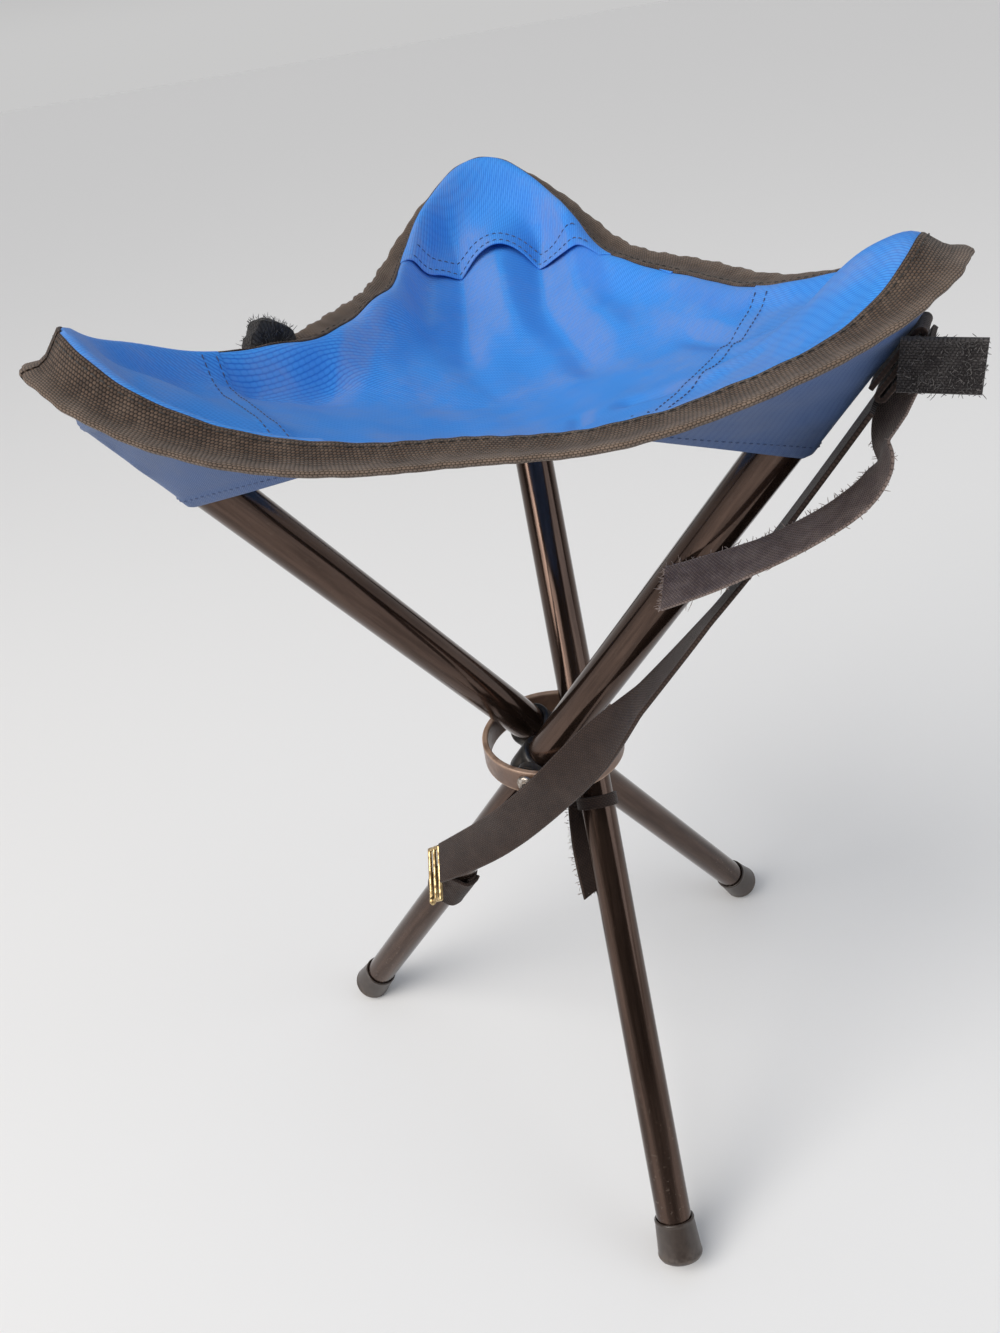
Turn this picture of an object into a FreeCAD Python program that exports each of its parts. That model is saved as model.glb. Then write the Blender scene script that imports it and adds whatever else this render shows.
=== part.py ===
import FreeCAD
import Part
import math
import os

# A folding tripod stool: three two-piece tube legs riveted inside a steel band,
# a dished cloth seat whose corners sit on the leg ends, and loose webbing straps.
# Millimetres, +Z up, floor at z = 0, the band's axis at x = y = 0.

Vector = FreeCAD.Vector
Rotation = FreeCAD.Rotation
Placement = FreeCAD.Placement
X_AXIS = Vector(1, 0, 0)
Y_AXIS = Vector(0, 1, 0)
Z_AXIS = Vector(0, 0, 1)

doc = FreeCAD.newDocument("tripod_stool")

# Driving sizes. "reach" is measured along a leg from its pivot.
SIZES = [
    ("hub_wall", 3.0),
    ("hub_height", 13.0),
    ("hub_round", 0.8),
    ("leg_gap", 3.0),
    ("leg_tilt", 34.8),
    ("upper_reach", 268.0),
    ("lower_reach", 262.0),
    ("upper_od", 19.0),
    ("upper_wall", 0.8),
    ("upper_tail", 10.0),
    ("lower_wall", 0.9),
    ("lower_insert", 40.0),
    ("slide_gap", 0.05),
    ("collar_wall", 2.25),
    ("collar_above", 5.0),
    ("collar_lip", 3.0),
    ("collar_round", 1.5),
    ("cap_base_wall", 2.35),
    ("cap_top_wall", 1.25),
    ("cap_height", 20.0),
    ("cap_floor", 5.0),
    ("cap_round", 3.0),
    ("sole_cut", 0.6),
    ("plug_head", 6.0),
    ("plug_round", 4.0),
    ("plug_shank", 15.0),
    ("rivet_shank_od", 4.8),
    ("rivet_head_od", 9.5),
    ("rivet_head_height", 2.2),
    ("rivet_head_round", 1.8),
    ("rivet_tail_od", 7.0),
    ("rivet_tail_height", 1.5),
    ("pin_gap", 0.05),
    ("washer_od", 15.0),
    ("washer_thickness", 4.35),
    ("washer_gap", 0.2),
    ("rear_corner_past", 13.0),
    ("left_corner_past", 21.0),
    ("right_corner_past", 21.0),
    ("rear_corner_rise", 24.0),
    ("left_corner_rise", 11.5),
    ("right_corner_rise", 3.5),
    ("rear_corner_taper", 1.85),
    ("left_corner_taper", 1.2),
    ("right_corner_taper", 1.4),
    ("rear_corner_peak", 4.0),
    ("left_corner_peak", 3.1),
    ("right_corner_peak", 1.5),
    ("rear_bump", 1.5),
    ("left_bump", 11.0),
    ("right_bump", 18.0),
    ("bump_spread", 24.0),
    ("back_left_reach", 86.0),
    ("front_reach", 115.0),
    ("back_right_reach", 110.0),
    ("back_left_sag", 10.0),
    ("front_sag", 26.0),
    ("back_right_sag", 13.5),
    ("rear_corner_crest", 15.0),
    ("left_corner_crest", 12.0),
    ("right_corner_crest", 4.0),
    ("back_left_crest", 11.0),
    ("front_crest", 6.0),
    ("back_right_crest", 5.0),
    ("crest_inset", 17.5),
    ("crest_spread", 7.5),
    ("crest_power", 0.76),
    ("seat_dish", 47.0),
    ("seat_bow", 1.5),
    ("panel_thickness", 1.6),
    ("binding_width", 16.0),
    ("binding_thickness", 3.2),
    ("cloth_gap", 0.5),
    ("rear_pocket_mouth", 58.0),
    ("left_pocket_mouth", 47.0),
    ("right_pocket_mouth", 62.0),
    ("pocket_thickness", 1.2),
    ("tab_radius", 11.0),
    ("tab_width", 9.0),
    ("tab_thickness", 1.8),
    ("tab_turn", 86.0),
    ("strap_width", 22.0),
    ("strap_thickness", 1.8),
    ("strap_top_drop", 30.0),
    ("strap_ring_gap", 2.2),
    ("strap_bottom_reach", 102.5),
    ("loop_width", 24.0),
    ("loop_reach", 118.0),
    ("buckle_length", 31.0),
    ("buckle_breadth", 15.0),
    ("buckle_wire", 2.4),
    ("buckle_turn", 22.0),
    ("buckle_round", 50.0),
    ("ribbon_width", 20.0),
    ("ribbon_thickness", 1.2),
    ("stub_length", 26.0),
    ("stub_width", 18.0),
    ("stub_thickness", 3.0),
    ("anchor_length", 26.0),
    ("anchor_width", 18.0),
    ("anchor_depth", 8.0),
    ("keeper_reach", 34.0),
    ("keeper_width", 6.0),
    ("tail_width", 20.0),
    ("tail_thickness", 1.6),
    ("tail_length", 45.0),
]

sheet = doc.addObject("Spreadsheet::Sheet", "sizes")
size = {}
nodes = []


def enter(alias, value):
    """Write one size into the next row of the sheet and read it back."""
    row = len(size) + 1
    sheet.set("A%d" % row, alias)
    sheet.set("B%d" % row, str(value))
    sheet.setAlias("B%d" % row, alias)
    size[alias] = float(value)


for alias, value in SIZES:
    enter(alias, value)

# Sizes that follow from the ones above. The legs pass each other inside the ring with a
# gap between their collars, and the ring closes round them with a washer at each rivet.
tilt = math.radians(size["leg_tilt"])
enter("lower_od", size["upper_od"] - 2 * (size["upper_wall"] + size["slide_gap"]))
enter("collar_od", size["upper_od"] + 2 * size["collar_wall"])
enter("cap_base_od", size["lower_od"] + 2 * size["cap_base_wall"])
enter("cap_top_od", size["lower_od"] + 2 * size["cap_top_wall"])
spread = 3 / math.sqrt(3 + 0.75 * math.tan(tilt) ** 2)
enter("leg_circle", round((size["collar_od"] + size["leg_gap"]) / spread, 2))
enter("hub_od", 2 * (size["leg_circle"] + size["collar_od"] / 2 + size["washer_gap"]
                     + size["washer_thickness"] + size["hub_wall"]))
doc.recompute()


def keep(item, label):
    """Give a finished piece its own label and put it on the list to be written."""
    item.Label = label
    nodes.append(item)
    return item


def cylinder(name, radius, height, base="0"):
    """A cylinder on the Z axis whose sizes are expressions on the sheet."""
    item = doc.addObject("Part::Cylinder", name)
    item.setExpression("Radius", radius)
    item.setExpression("Height", height)
    item.setExpression("Placement.Base.z", base)
    return item


def radial_cylinder(name, radius, height):
    """A cylinder along +X from the origin, used for pin holes."""
    item = doc.addObject("Part::Cylinder", name)
    item.setExpression("Radius", radius)
    item.setExpression("Height", height)
    item.Placement = Placement(Vector(0, 0, 0), Rotation(Y_AXIS, 90))
    return item


def cut(name, base, tool):
    item = doc.addObject("Part::Cut", name)
    item.Base = base
    item.Tool = tool
    return item


def fuse(name, pieces):
    item = doc.addObject("Part::MultiFuse", name)
    item.Shapes = pieces
    return item


def rounded(name, base, radius, heights):
    """Fillet the circular edges that lie at the given heights."""
    doc.recompute()
    picked = []
    for index, edge in enumerate(base.Shape.Edges, 1):
        if isinstance(edge.Curve, Part.Circle) and len(edge.Vertexes) == 1:
            if min(abs(edge.Curve.Center.z - height) for height in heights) < 1e-6:
                picked.append((index, radius, radius))
    item = doc.addObject("Part::Fillet", name)
    item.Base = base
    item.Edges = picked
    return item


def shaped(name, shape, place=None):
    """A piece whose form is computed from the sheet's sizes."""
    item = doc.addObject("Part::Feature", name)
    item.Shape = shape
    if place is not None:
        item.Placement = place
    return item


# Where the pivots and the legs are.
cap_base = size["cap_base_od"] / 2
foot_lift = (
    (cap_base - size["cap_round"]) * math.sin(tilt)
    + size["cap_round"] * (1 - math.cos(tilt))
    - size["sole_cut"]
)
pivot_height = foot_lift + size["lower_reach"] * math.cos(tilt)
LEGS = [("rear", 0.0), ("left", 120.0), ("right", 240.0)]


def leg_frame(turn):
    """Frame of a leg: z up along the tube, x outward along its rivet, y on the underside."""
    angle = math.radians(turn)
    base = Vector(
        size["leg_circle"] * math.cos(angle),
        size["leg_circle"] * math.sin(angle),
        pivot_height,
    )
    return Placement(base, Rotation(Z_AXIS, turn).multiply(Rotation(X_AXIS, -size["leg_tilt"])))


frames = {name: leg_frame(turn) for name, turn in LEGS}

# Expressions that several pieces share.
UPPER_R = "sizes.upper_od / 2"
UPPER_BORE = "(sizes.upper_od / 2 - sizes.upper_wall)"
LOWER_R = "sizes.lower_od / 2"
LOWER_BORE = "(sizes.lower_od / 2 - sizes.lower_wall)"
HUB_R = "sizes.hub_od / 2"
HUB_BORE = "(sizes.hub_od / 2 - sizes.hub_wall)"
PIN_HOLE = "sizes.rivet_shank_od / 2 + sizes.pin_gap"
lower_radius = size["lower_od"] / 2
lower_bore = lower_radius - size["lower_wall"]
hub_radius = size["hub_od"] / 2
hub_bore = hub_radius - size["hub_wall"]

# Hub ring: a plain band with rounded rims and three rivet holes.
hub_outer = cylinder("hub_outer", HUB_R, "sizes.hub_height", "-sizes.hub_height / 2")
hub_inner = cylinder("hub_inner", HUB_BORE, "sizes.hub_height + 2", "-sizes.hub_height / 2 - 1")
hub_band = cut("hub_band", hub_outer, hub_inner)
half = size["hub_height"] / 2
hub_round = rounded("hub_round", hub_band, size["hub_round"], [half, -half])
hub_holes = []
for name, turn in LEGS:
    hole = radial_cylinder(name + "_hub_hole", PIN_HOLE, HUB_R + " + 2")
    hole.Placement = Placement(Vector(0, 0, 0), Rotation(Z_AXIS, turn).multiply(Rotation(Y_AXIS, 90)))
    hub_holes.append(hole)
hub_drill = fuse("hub_drill", hub_holes)
hub_ring = keep(cut("hub_ring_body", hub_round, hub_drill), "hub_ring")
hub_ring.Placement = Placement(Vector(0, 0, pivot_height), Rotation())

# Rivets and spacer washers, one set per leg, drawn along +Z and laid on the leg's radius.
rivet_tail_start = math.sqrt(lower_bore ** 2 - (size["rivet_tail_od"] / 2) ** 2) - 0.06
tail_base = size["leg_circle"] + rivet_tail_start - size["rivet_tail_height"]
rivets = []
washers = []
for name, turn in LEGS:
    laid = Placement(
        Vector(0, 0, pivot_height),
        Rotation(Z_AXIS, turn).multiply(Rotation(Y_AXIS, 90)),
    )
    head = cylinder(name + "_rivet_head", "sizes.rivet_head_od / 2", "sizes.rivet_head_height",
                    HUB_R + " + 0.02")
    head_top = hub_radius + 0.02 + size["rivet_head_height"]
    dome = rounded(name + "_rivet_dome", head, size["rivet_head_round"], [head_top])
    shank = cylinder(name + "_rivet_shank", "sizes.rivet_shank_od / 2",
                     HUB_R + " + 0.1 - %.4f" % tail_base, "%.4f" % tail_base)
    tail = cylinder(name + "_rivet_tail", "sizes.rivet_tail_od / 2", "sizes.rivet_tail_height",
                    "%.4f" % tail_base)
    rivet = fuse(name + "_rivet", [dome, shank, tail])
    rivet.Placement = laid
    rivets.append(rivet)

    washer_start = "sizes.leg_circle + sizes.collar_od / 2 + sizes.washer_gap"
    disc = cylinder(name + "_washer_disc", "sizes.washer_od / 2",
                    HUB_BORE + " - (" + washer_start + ") + 1", washer_start)
    bore = cylinder(name + "_washer_bore", PIN_HOLE, HUB_R)
    washer = cut(name + "_washer", disc, bore)
    washer.Placement = laid
    trim = cylinder(name + "_washer_trim", HUB_BORE + " - 0.12", "60", "%.4f - 30" % pivot_height)
    fitted = doc.addObject("Part::Common", name + "_washer_fitted")
    fitted.Base = washer
    fitted.Tool = trim
    washers.append(fitted)

rivet_set = doc.addObject("Part::Compound", "rivet_set")
rivet_set.Links = rivets
keep(rivet_set, "rivets")
washer_set = doc.addObject("Part::Compound", "washer_set")
washer_set.Links = washers
keep(washer_set, "spacer_washers")


def pierced(name, body):
    """Drill the rivet hole through the outer wall of a leg piece."""
    hole = radial_cylinder(name + "_pin_hole", PIN_HOLE, "sizes.collar_od")
    return cut(name + "_pierced", body, hole)


floor = doc.addObject("Part::Box", "floor")
floor.Length = 1000
floor.Width = 1000
floor.Height = 50
floor.Placement = Placement(Vector(-500, -500, -50), Rotation())

for name, turn in LEGS:
    frame = frames[name]

    # Upper tube, from just below the pivot to the plug under the seat.
    outer = cylinder(name + "_upper_outer", UPPER_R,
                     "sizes.upper_reach - sizes.plug_head + sizes.upper_tail", "-sizes.upper_tail")
    inner = cylinder(name + "_upper_inner", UPPER_BORE,
                     "sizes.upper_reach + sizes.upper_tail + 2", "-sizes.upper_tail - 1")
    upper = pierced(name + "_upper", cut(name + "_upper_pipe", outer, inner))
    upper.Placement = frame
    keep(upper, name + "_upper_tube")

    # Lower tube, pushed up inside the upper one.
    outer = cylinder(name + "_lower_outer", LOWER_R,
                     "sizes.lower_reach - sizes.cap_floor + sizes.lower_insert",
                     "-sizes.lower_reach + sizes.cap_floor")
    inner = cylinder(name + "_lower_inner", LOWER_BORE,
                     "sizes.lower_reach + sizes.lower_insert + 2", "-sizes.lower_reach")
    lower = pierced(name + "_lower", cut(name + "_lower_pipe", outer, inner))
    lower.Placement = frame
    keep(lower, name + "_lower_tube")

    # Collar over the mouth of the upper tube, with a lip that closes on the lower tube.
    collar_bottom = "-sizes.upper_tail - sizes.collar_lip"
    outer = cylinder(name + "_collar_outer", "sizes.collar_od / 2",
                     "sizes.upper_tail + sizes.collar_lip + sizes.collar_above", collar_bottom)
    ends = [size["collar_above"], -size["upper_tail"] - size["collar_lip"]]
    soft = rounded(name + "_collar_round", outer, size["collar_round"], ends)
    seat_bore = cylinder(name + "_collar_bore", UPPER_R + " + 0.05",
                         "sizes.upper_tail + sizes.collar_above + 2", "-sizes.upper_tail")
    lip_bore = cylinder(name + "_collar_lip", LOWER_R + " + 0.05", "sizes.collar_lip + 2",
                        collar_bottom + " - 1")
    bores = fuse(name + "_collar_bores", [seat_bore, lip_bore])
    collar = pierced(name + "_collar", cut(name + "_collar_sleeve", soft, bores))
    collar.Placement = frame
    keep(collar, name + "_collar")

    # Foot cap: a flared cup, worn flat where it stands on the floor.
    cone = doc.addObject("Part::Cone", name + "_cap_cone")
    cone.setExpression("Radius1", "sizes.cap_base_od / 2")
    cone.setExpression("Radius2", "sizes.cap_top_od / 2")
    cone.setExpression("Height", "sizes.cap_height")
    cone.setExpression("Placement.Base.z", "-sizes.lower_reach")
    shell = rounded(name + "_cap_round", cone, size["cap_round"], [-size["lower_reach"]])
    socket = cylinder(name + "_cap_socket", LOWER_R + " + 0.05", "sizes.cap_height",
                      "-sizes.lower_reach + sizes.cap_floor - 0.05")
    cup = cut(name + "_cap_cup", shell, socket)
    cup.Placement = frame
    keep(cut(name + "_cap_flat", cup, floor), name + "_foot_cap")

    # Rounded plug in the top end of the leg.
    head = cylinder(name + "_plug_head", UPPER_R, "sizes.plug_head",
                    "sizes.upper_reach - sizes.plug_head + 0.02")
    dome = rounded(name + "_plug_dome", head, size["plug_round"], [size["upper_reach"] + 0.02])
    shank = cylinder(name + "_plug_shank", UPPER_BORE + " - 0.05", "sizes.plug_shank + 1",
                     "sizes.upper_reach - sizes.plug_head - sizes.plug_shank")
    plug = fuse(name + "_plug", [dome, shank])
    plug.Placement = frame
    keep(plug, name + "_top_plug")

# The seat is one smooth dished surface over an outline with three lifted corners.
end_out = size["upper_reach"] * math.sin(tilt)
end_plan = math.hypot(size["leg_circle"], end_out)
end_height = pivot_height + size["upper_reach"] * math.cos(tilt)
corner_turn = math.atan2(end_out, size["leg_circle"])
bump_plan = end_plan - size["upper_od"] / 2 * math.cos(tilt)
seat_low = end_height - size["seat_dish"]
CORNERS = ("rear", "left", "right")
SIDES = ("back_left", "front", "back_right")
corner_reach = [end_plan + size[name + "_corner_past"] for name in CORNERS]
corner_height = [end_height + size[name + "_corner_rise"] for name in CORNERS]
corner_taper = [size[name + "_corner_taper"] for name in CORNERS]
corner_peak = [size[name + "_corner_peak"] for name in CORNERS]
side_reach = [size[name + "_reach"] for name in SIDES]
side_height = [end_height - size[name + "_sag"] for name in SIDES]
corner_crest = [size[name + "_corner_crest"] for name in CORNERS]
side_crest = [size[name + "_crest"] for name in SIDES]
THIRD = 2 * math.pi / 3


def through_three(values, angle):
    """The slow wave (mean and first harmonic) that meets three values a third of a turn apart."""
    mean = sum(values) / 3
    even = sum(v * math.cos(i * THIRD) for i, v in enumerate(values)) * 2 / 3
    odd = sum(v * math.sin(i * THIRD) for i, v in enumerate(values)) * 2 / 3
    return mean + even * math.cos(angle) + odd * math.sin(angle)


def edge_at(turn):
    """Reach and height of the seat's edge: a blend between the side and the corner waves."""
    angle = turn - corner_turn
    peak = (1 + math.cos(3 * angle)) / 2
    low_reach = through_three(side_reach, angle - THIRD / 2)
    low_height = through_three(side_height, angle - THIRD / 2)
    out = peak ** through_three(corner_taper, angle)
    up = peak ** through_three(corner_peak, angle)
    reach = low_reach + (through_three(corner_reach, angle) - low_reach) * out
    height = low_height + (through_three(corner_height, angle) - low_height) * up
    return reach, height


def edge_lean(turn):
    """How much longer a step across the edge is when it is taken along the radius."""
    step = 0.01
    slope = (edge_at(turn + step)[0] - edge_at(turn - step)[0]) / (2 * step) / edge_at(turn)[0]
    return min(math.hypot(1, slope), 1.5)


def seat_height(x, y):
    """Underside of the seat: a bowl that rises to the edge, a soft bump over each leg end,
    and a crest inside the edge, from which the binding droops."""
    turn = math.atan2(y, x)
    reach, height = edge_at(turn)
    share = math.hypot(x, y) / reach
    level = seat_low + (height - seat_low) * share ** size["seat_bow"]
    angle = turn - corner_turn
    peak = (1 + math.cos(3 * angle)) / 2
    crest = through_three(side_crest, angle - THIRD / 2)
    crest += (through_three(corner_crest, angle) - crest) * peak ** size["crest_power"]
    inset = (reach - math.hypot(x, y)) / edge_lean(turn)
    level += crest * math.exp(-((inset - size["crest_inset"]) / size["crest_spread"]) ** 2)
    for index, name in enumerate(CORNERS):
        turn = corner_turn + THIRD * index
        away = math.hypot(x - bump_plan * math.cos(turn), y - bump_plan * math.sin(turn))
        level += size[name + "_bump"] * math.exp(-(away / size["bump_spread"]) ** 2)
    return level


def inset_reach(turn, inset):
    """Reach of a line that runs the given distance inside the seat's edge."""
    return edge_at(turn)[0] - inset * edge_lean(turn)


def outline_prism(inset):
    """Upright prism over the seat's outline, drawn in by the inset."""
    count = 72
    points = []
    for index in range(count):
        turn = 2 * math.pi * index / count
        reach = inset_reach(turn, inset)
        points.append(Vector(reach * math.cos(turn), reach * math.sin(turn), 0))
    curve = Part.BSplineCurve()
    curve.interpolate(points, PeriodicFlag=True)
    face = Part.Face(Part.Wire([curve.toShape()]))
    return face.extrude(Vector(0, 0, end_height * 2))


span = max(corner_reach) + 12
STEPS = 60
grid = []
for i in range(STEPS + 1):
    x = span * (2 * i / STEPS - 1)
    row = []
    for j in range(STEPS + 1):
        y = span * (2 * j / STEPS - 1)
        row.append(Vector(x, y, seat_height(x, y)))
    grid.append(row)
cloth = Part.BSplineSurface()
cloth.interpolate(grid)
cloth_face = cloth.toShape()


def slab(below, thickness):
    """The seat surface made solid, from a distance below it."""
    lowered = cloth_face.copy()
    lowered.translate(Vector(0, 0, -below))
    return lowered.extrude(Vector(0, 0, thickness))


def wedge(first, last):
    """Upright wedge between two directions, for parting the binding at the corners."""
    far = span * 4
    middle = (first + last) / 2
    corners = [Vector(0, 0, 0)]
    for turn in (first, middle, last):
        corners.append(Vector(far * math.cos(turn), far * math.sin(turn), 0))
    corners.append(corners[0])
    return Part.Face(Part.makePolygon(corners)).extrude(Vector(0, 0, end_height * 2))


panel = slab(0, size["panel_thickness"]).common(outline_prism(size["binding_width"] + 0.05))
keep(shaped("seat_cloth", panel.Solids[0]), "seat_panel")

spare = (size["binding_thickness"] - size["panel_thickness"]) / 2
band = outline_prism(0).cut(outline_prism(size["binding_width"]))
tape = slab(spare, size["binding_thickness"]).common(band)
for index, name in enumerate(SIDES):
    first = corner_turn + THIRD * index + 0.001
    piece = tape.common(wedge(first, first + THIRD - 0.002))
    keep(shaped(name + "_tape", piece.Solids[0]), "binding_" + name)

# Half-loop tab, an arch of webbing that stands on the back left binding.
tab_turn = corner_turn + math.radians(size["tab_turn"])
tab_reach = inset_reach(tab_turn, size["binding_width"] / 2)
tab_at = Vector(tab_reach * math.cos(tab_turn), tab_reach * math.sin(tab_turn), 0)
tab_at.z = seat_height(tab_at.x, tab_at.y) + size["panel_thickness"] + spare - 0.5
arch = Part.makeCylinder(size["tab_radius"], size["tab_width"], Vector(0, 0, 0), X_AXIS)
opening = Part.makeCylinder(size["tab_radius"] - size["tab_thickness"], size["tab_width"],
                            Vector(0, 0, 0), X_AXIS)
arch = arch.cut(opening)
arch.translate(Vector(-size["tab_width"] / 2, 0, 0))
edge_step = inset_reach(tab_turn + 0.01, 0) - inset_reach(tab_turn - 0.01, 0)
tab_slant = math.atan2(edge_step / 0.02, inset_reach(tab_turn, 0))
arch.Placement = Placement(tab_at, Rotation(Z_AXIS, math.degrees(tab_turn - tab_slant))).multiply(arch.Placement)
arch = arch.cut(slab(60, 60 + size["panel_thickness"] + spare + 0.02))
keep(shaped("tab_arch", max(arch.Solids, key=lambda solid: solid.Volume)), "edge_tab")


def pocket_wire(frame, reach):
    """Section of a pocket across its leg: two straight flanks and an arc under the tube."""
    inside = size["upper_od"] / 2 + 0.45
    flanks = []
    for side in (1, -1):
        out = 12.0
        best = None
        while out < 80:
            rise = 0.0
            for attempt in range(120):
                point = frame.multVec(Vector(side * out, -rise, reach))
                under = seat_height(point.x, point.y) - spare - size["cloth_gap"]
                rise += (under - size["pocket_thickness"] - point.z) * math.sin(tilt)
            turn = math.atan2(point.y, point.x)
            if math.hypot(point.x, point.y) > inset_reach(turn, size["binding_width"] * 0.8):
                break
            best = (side * out, -rise)
            out += 2.0
        flanks.append(best)

    def path(radius):
        found = []
        for side, (x, y) in zip((1, -1), flanks):
            reach_out = math.hypot(x, y)
            angle = math.atan2(y, x) + side * math.acos(radius / reach_out)
            touch = Vector(radius * math.cos(angle), radius * math.sin(angle), reach)
            found.append((Vector(x, y, reach), touch))
        return found

    near = path(inside)
    far = path(inside + size["pocket_thickness"])
    lift = Vector(0, -size["pocket_thickness"] * 0.6, 0)
    low = Vector(0, inside, reach)
    deep = Vector(0, inside + size["pocket_thickness"], reach)
    (a_top, a_tan), (b_top, b_tan) = near
    (c_top, c_tan), (d_top, d_tan) = far
    edges = [
        Part.makeLine(a_top + lift, a_tan),
        Part.Arc(a_tan, low, b_tan).toShape(),
        Part.makeLine(b_tan, b_top + lift),
        Part.makeLine(b_top + lift, d_top),
        Part.makeLine(d_top, d_tan),
        Part.Arc(d_tan, deep, c_tan).toShape(),
        Part.makeLine(c_tan, c_top),
        Part.makeLine(c_top, a_top + lift),
    ]
    return Part.Wire(edges)


# Corner pockets: slings under the leg ends, carried by the legs.
for name, turn in LEGS:
    frame = frames[name]
    mouth = size[name + "_pocket_mouth"]
    stations = [size["upper_reach"] - mouth * share for share in (1.0, 0.83, 0.66, 0.5, 0.33, 0.18, 0.04)]
    sling = Part.makeLoft([pocket_wire(frame, reach) for reach in stations], True, True)
    keep(shaped(name + "_sling", sling, frame), name + "_pocket")


def band_along(points, twists, width, thickness, count):
    """A flat strap: rectangles along a smooth curve, turned about it from the +X side of the leg."""
    curve = Part.BSplineCurve()
    curve.interpolate([Vector(*point) for point in points])
    wires = []
    for index in range(count + 1):
        share = index / count
        at = curve.FirstParameter + share * (curve.LastParameter - curve.FirstParameter)
        centre = curve.value(at)
        along = curve.tangent(at)[0]
        place = share * (len(twists) - 1)
        step = min(int(place), len(twists) - 2)
        twist = math.radians(twists[step] + (twists[step + 1] - twists[step]) * (place - step))
        flat = X_AXIS - along * X_AXIS.dot(along)
        flat.normalize()
        across = along.cross(flat)
        normal = flat * math.cos(twist) + across * math.sin(twist)
        across = along.cross(normal)
        corners = []
        for side, face in ((1, 1), (-1, 1), (-1, -1), (1, -1)):
            corners.append(centre + across * (side * width / 2) + normal * (face * thickness / 2))
        corners.append(corners[0])
        wires.append(Part.makePolygon(corners))
    return Part.makeLoft(wires, True, True)


# Webbing on the right leg, drawn in the leg's frame (out along the rivet, underside, along the tube).
right = frames["right"]
anchor_reach = size["upper_reach"] - size["strap_top_drop"] + size["anchor_length"] / 2
anchor_face = size["upper_od"] / 2 + 0.45 + size["pocket_thickness"] + 0.05
anchor_end = anchor_face + size["anchor_depth"]
bunch = Part.makeBox(size["anchor_width"], size["anchor_depth"], size["anchor_length"],
                     Vector(-size["anchor_width"] / 2, anchor_face, anchor_reach - size["anchor_length"] / 2))
bunch = bunch.makeFillet(2.0, bunch.Edges)
keep(shaped("webbing_bunch", bunch, right), "strap_anchor")

strap_top = size["upper_reach"] - size["strap_top_drop"] - 0.1
ring_out = (hub_radius - size["leg_circle"] + size["rivet_head_height"]
            + size["strap_ring_gap"] + size["strap_thickness"] / 2)
buckle_round = math.radians(size["buckle_round"])
end_out = lower_radius + 5.0
strap_path = [
    (2.0, anchor_end - 2.0, strap_top - 0.25),
    (1.0, 19.8, strap_top * 0.79),
    (4.5, 20.2, strap_top * 0.61),
    (ring_out - 2.8, 16.7, strap_top * 0.35),
    (ring_out, 13.8, strap_top * 0.19),
    (ring_out - 0.6, 10.5, 0.0),
    (ring_out - 5.0, 3.0, -size["strap_bottom_reach"] * 0.5),
    (end_out * math.cos(buckle_round), -end_out * math.sin(buckle_round), -size["strap_bottom_reach"]),
]
strap = band_along(strap_path, (90, 90, 90, 75, 30, 0, 8, size["buckle_round"]), size["strap_width"],
                   size["strap_thickness"], 24)
keep(shaped("strap_web", strap, right), "carry_strap")

loop_inner = lower_radius + 0.1
loop_outer = loop_inner + size["strap_thickness"]
loop_base = Vector(0, 0, -size["loop_reach"] - size["loop_width"] / 2)
ring_web = Part.makeCylinder(loop_outer, size["loop_width"], loop_base)
ring_web = ring_web.cut(Part.makeCylinder(loop_inner, size["loop_width"], loop_base))
keep(shaped("loop_web", ring_web, right), "leg_strap_loop")

# Slide buckle: a closed wire frame with a bar across its middle, lying on the loop.
wire = size["buckle_wire"] / 2
long_half = (size["buckle_length"] - size["buckle_wire"]) / 2
short_half = (size["buckle_breadth"] - size["buckle_wire"]) / 2
rods = []
for along in (-short_half, 0, short_half):
    rods.append(Part.makeCylinder(wire, 2 * long_half, Vector(0, -long_half, along), Y_AXIS))
for side in (-long_half, long_half):
    rods.append(Part.makeCylinder(wire, 2 * short_half, Vector(0, side, -short_half), Z_AXIS))
    for along in (-short_half, short_half):
        rods.append(Part.makeSphere(wire, Vector(0, side, along)))
buckle = rods[0].multiFuse(rods[1:]).removeSplitter()
buckle_at = Placement(Vector(loop_outer + wire + 0.1, 0, -size["loop_reach"] + 3.0),
                      Rotation(X_AXIS, -size["buckle_turn"]))
buckle_at = Placement(Vector(), Rotation(Z_AXIS, -size["buckle_round"])).multiply(buckle_at)
keep(shaped("buckle_frame", buckle, right.multiply(buckle_at)), "slide_buckle")

ribbon_path = [
    (-3.5, anchor_end + size["ribbon_thickness"] / 2 + 0.1, strap_top + 12.0),
    (-3.0, anchor_end + 2.6, strap_top + 1.0),
    (4.8, 25.9, strap_top - 10.5),
    (11.8, 32.3, strap_top - 16.0),
    (17.8, 32.4, strap_top - 29.5),
    (24.8, 22.6, strap_top - 52.0),
    (25.0, 9.0, strap_top - 78.5),
    (21.5, -3.8, strap_top - 101.0),
]
ribbon = band_along(ribbon_path, (90, 88, 78, 74, 78, 76, 60), size["ribbon_width"],
                    size["ribbon_thickness"], 24)
keep(shaped("ribbon_web", ribbon, right), "ribbon_strap")

stub_start = (
    size["anchor_width"] / 2 + size["stub_thickness"] / 2 + 0.6,
    anchor_end - 5.0,
    strap_top + 14.0,
)
stub_path = []
for share in (0.0, 0.5, 1.0):
    stub_path.append((
        stub_start[0] + share,
        stub_start[1] + size["stub_length"] * 0.83 * share,
        stub_start[2] + size["stub_length"] * 0.55 * share,
    ))
stub = band_along(stub_path, (0, 0), size["stub_width"], size["stub_thickness"], 6)
keep(shaped("stub_web", stub, right), "closure_stub")

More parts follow.
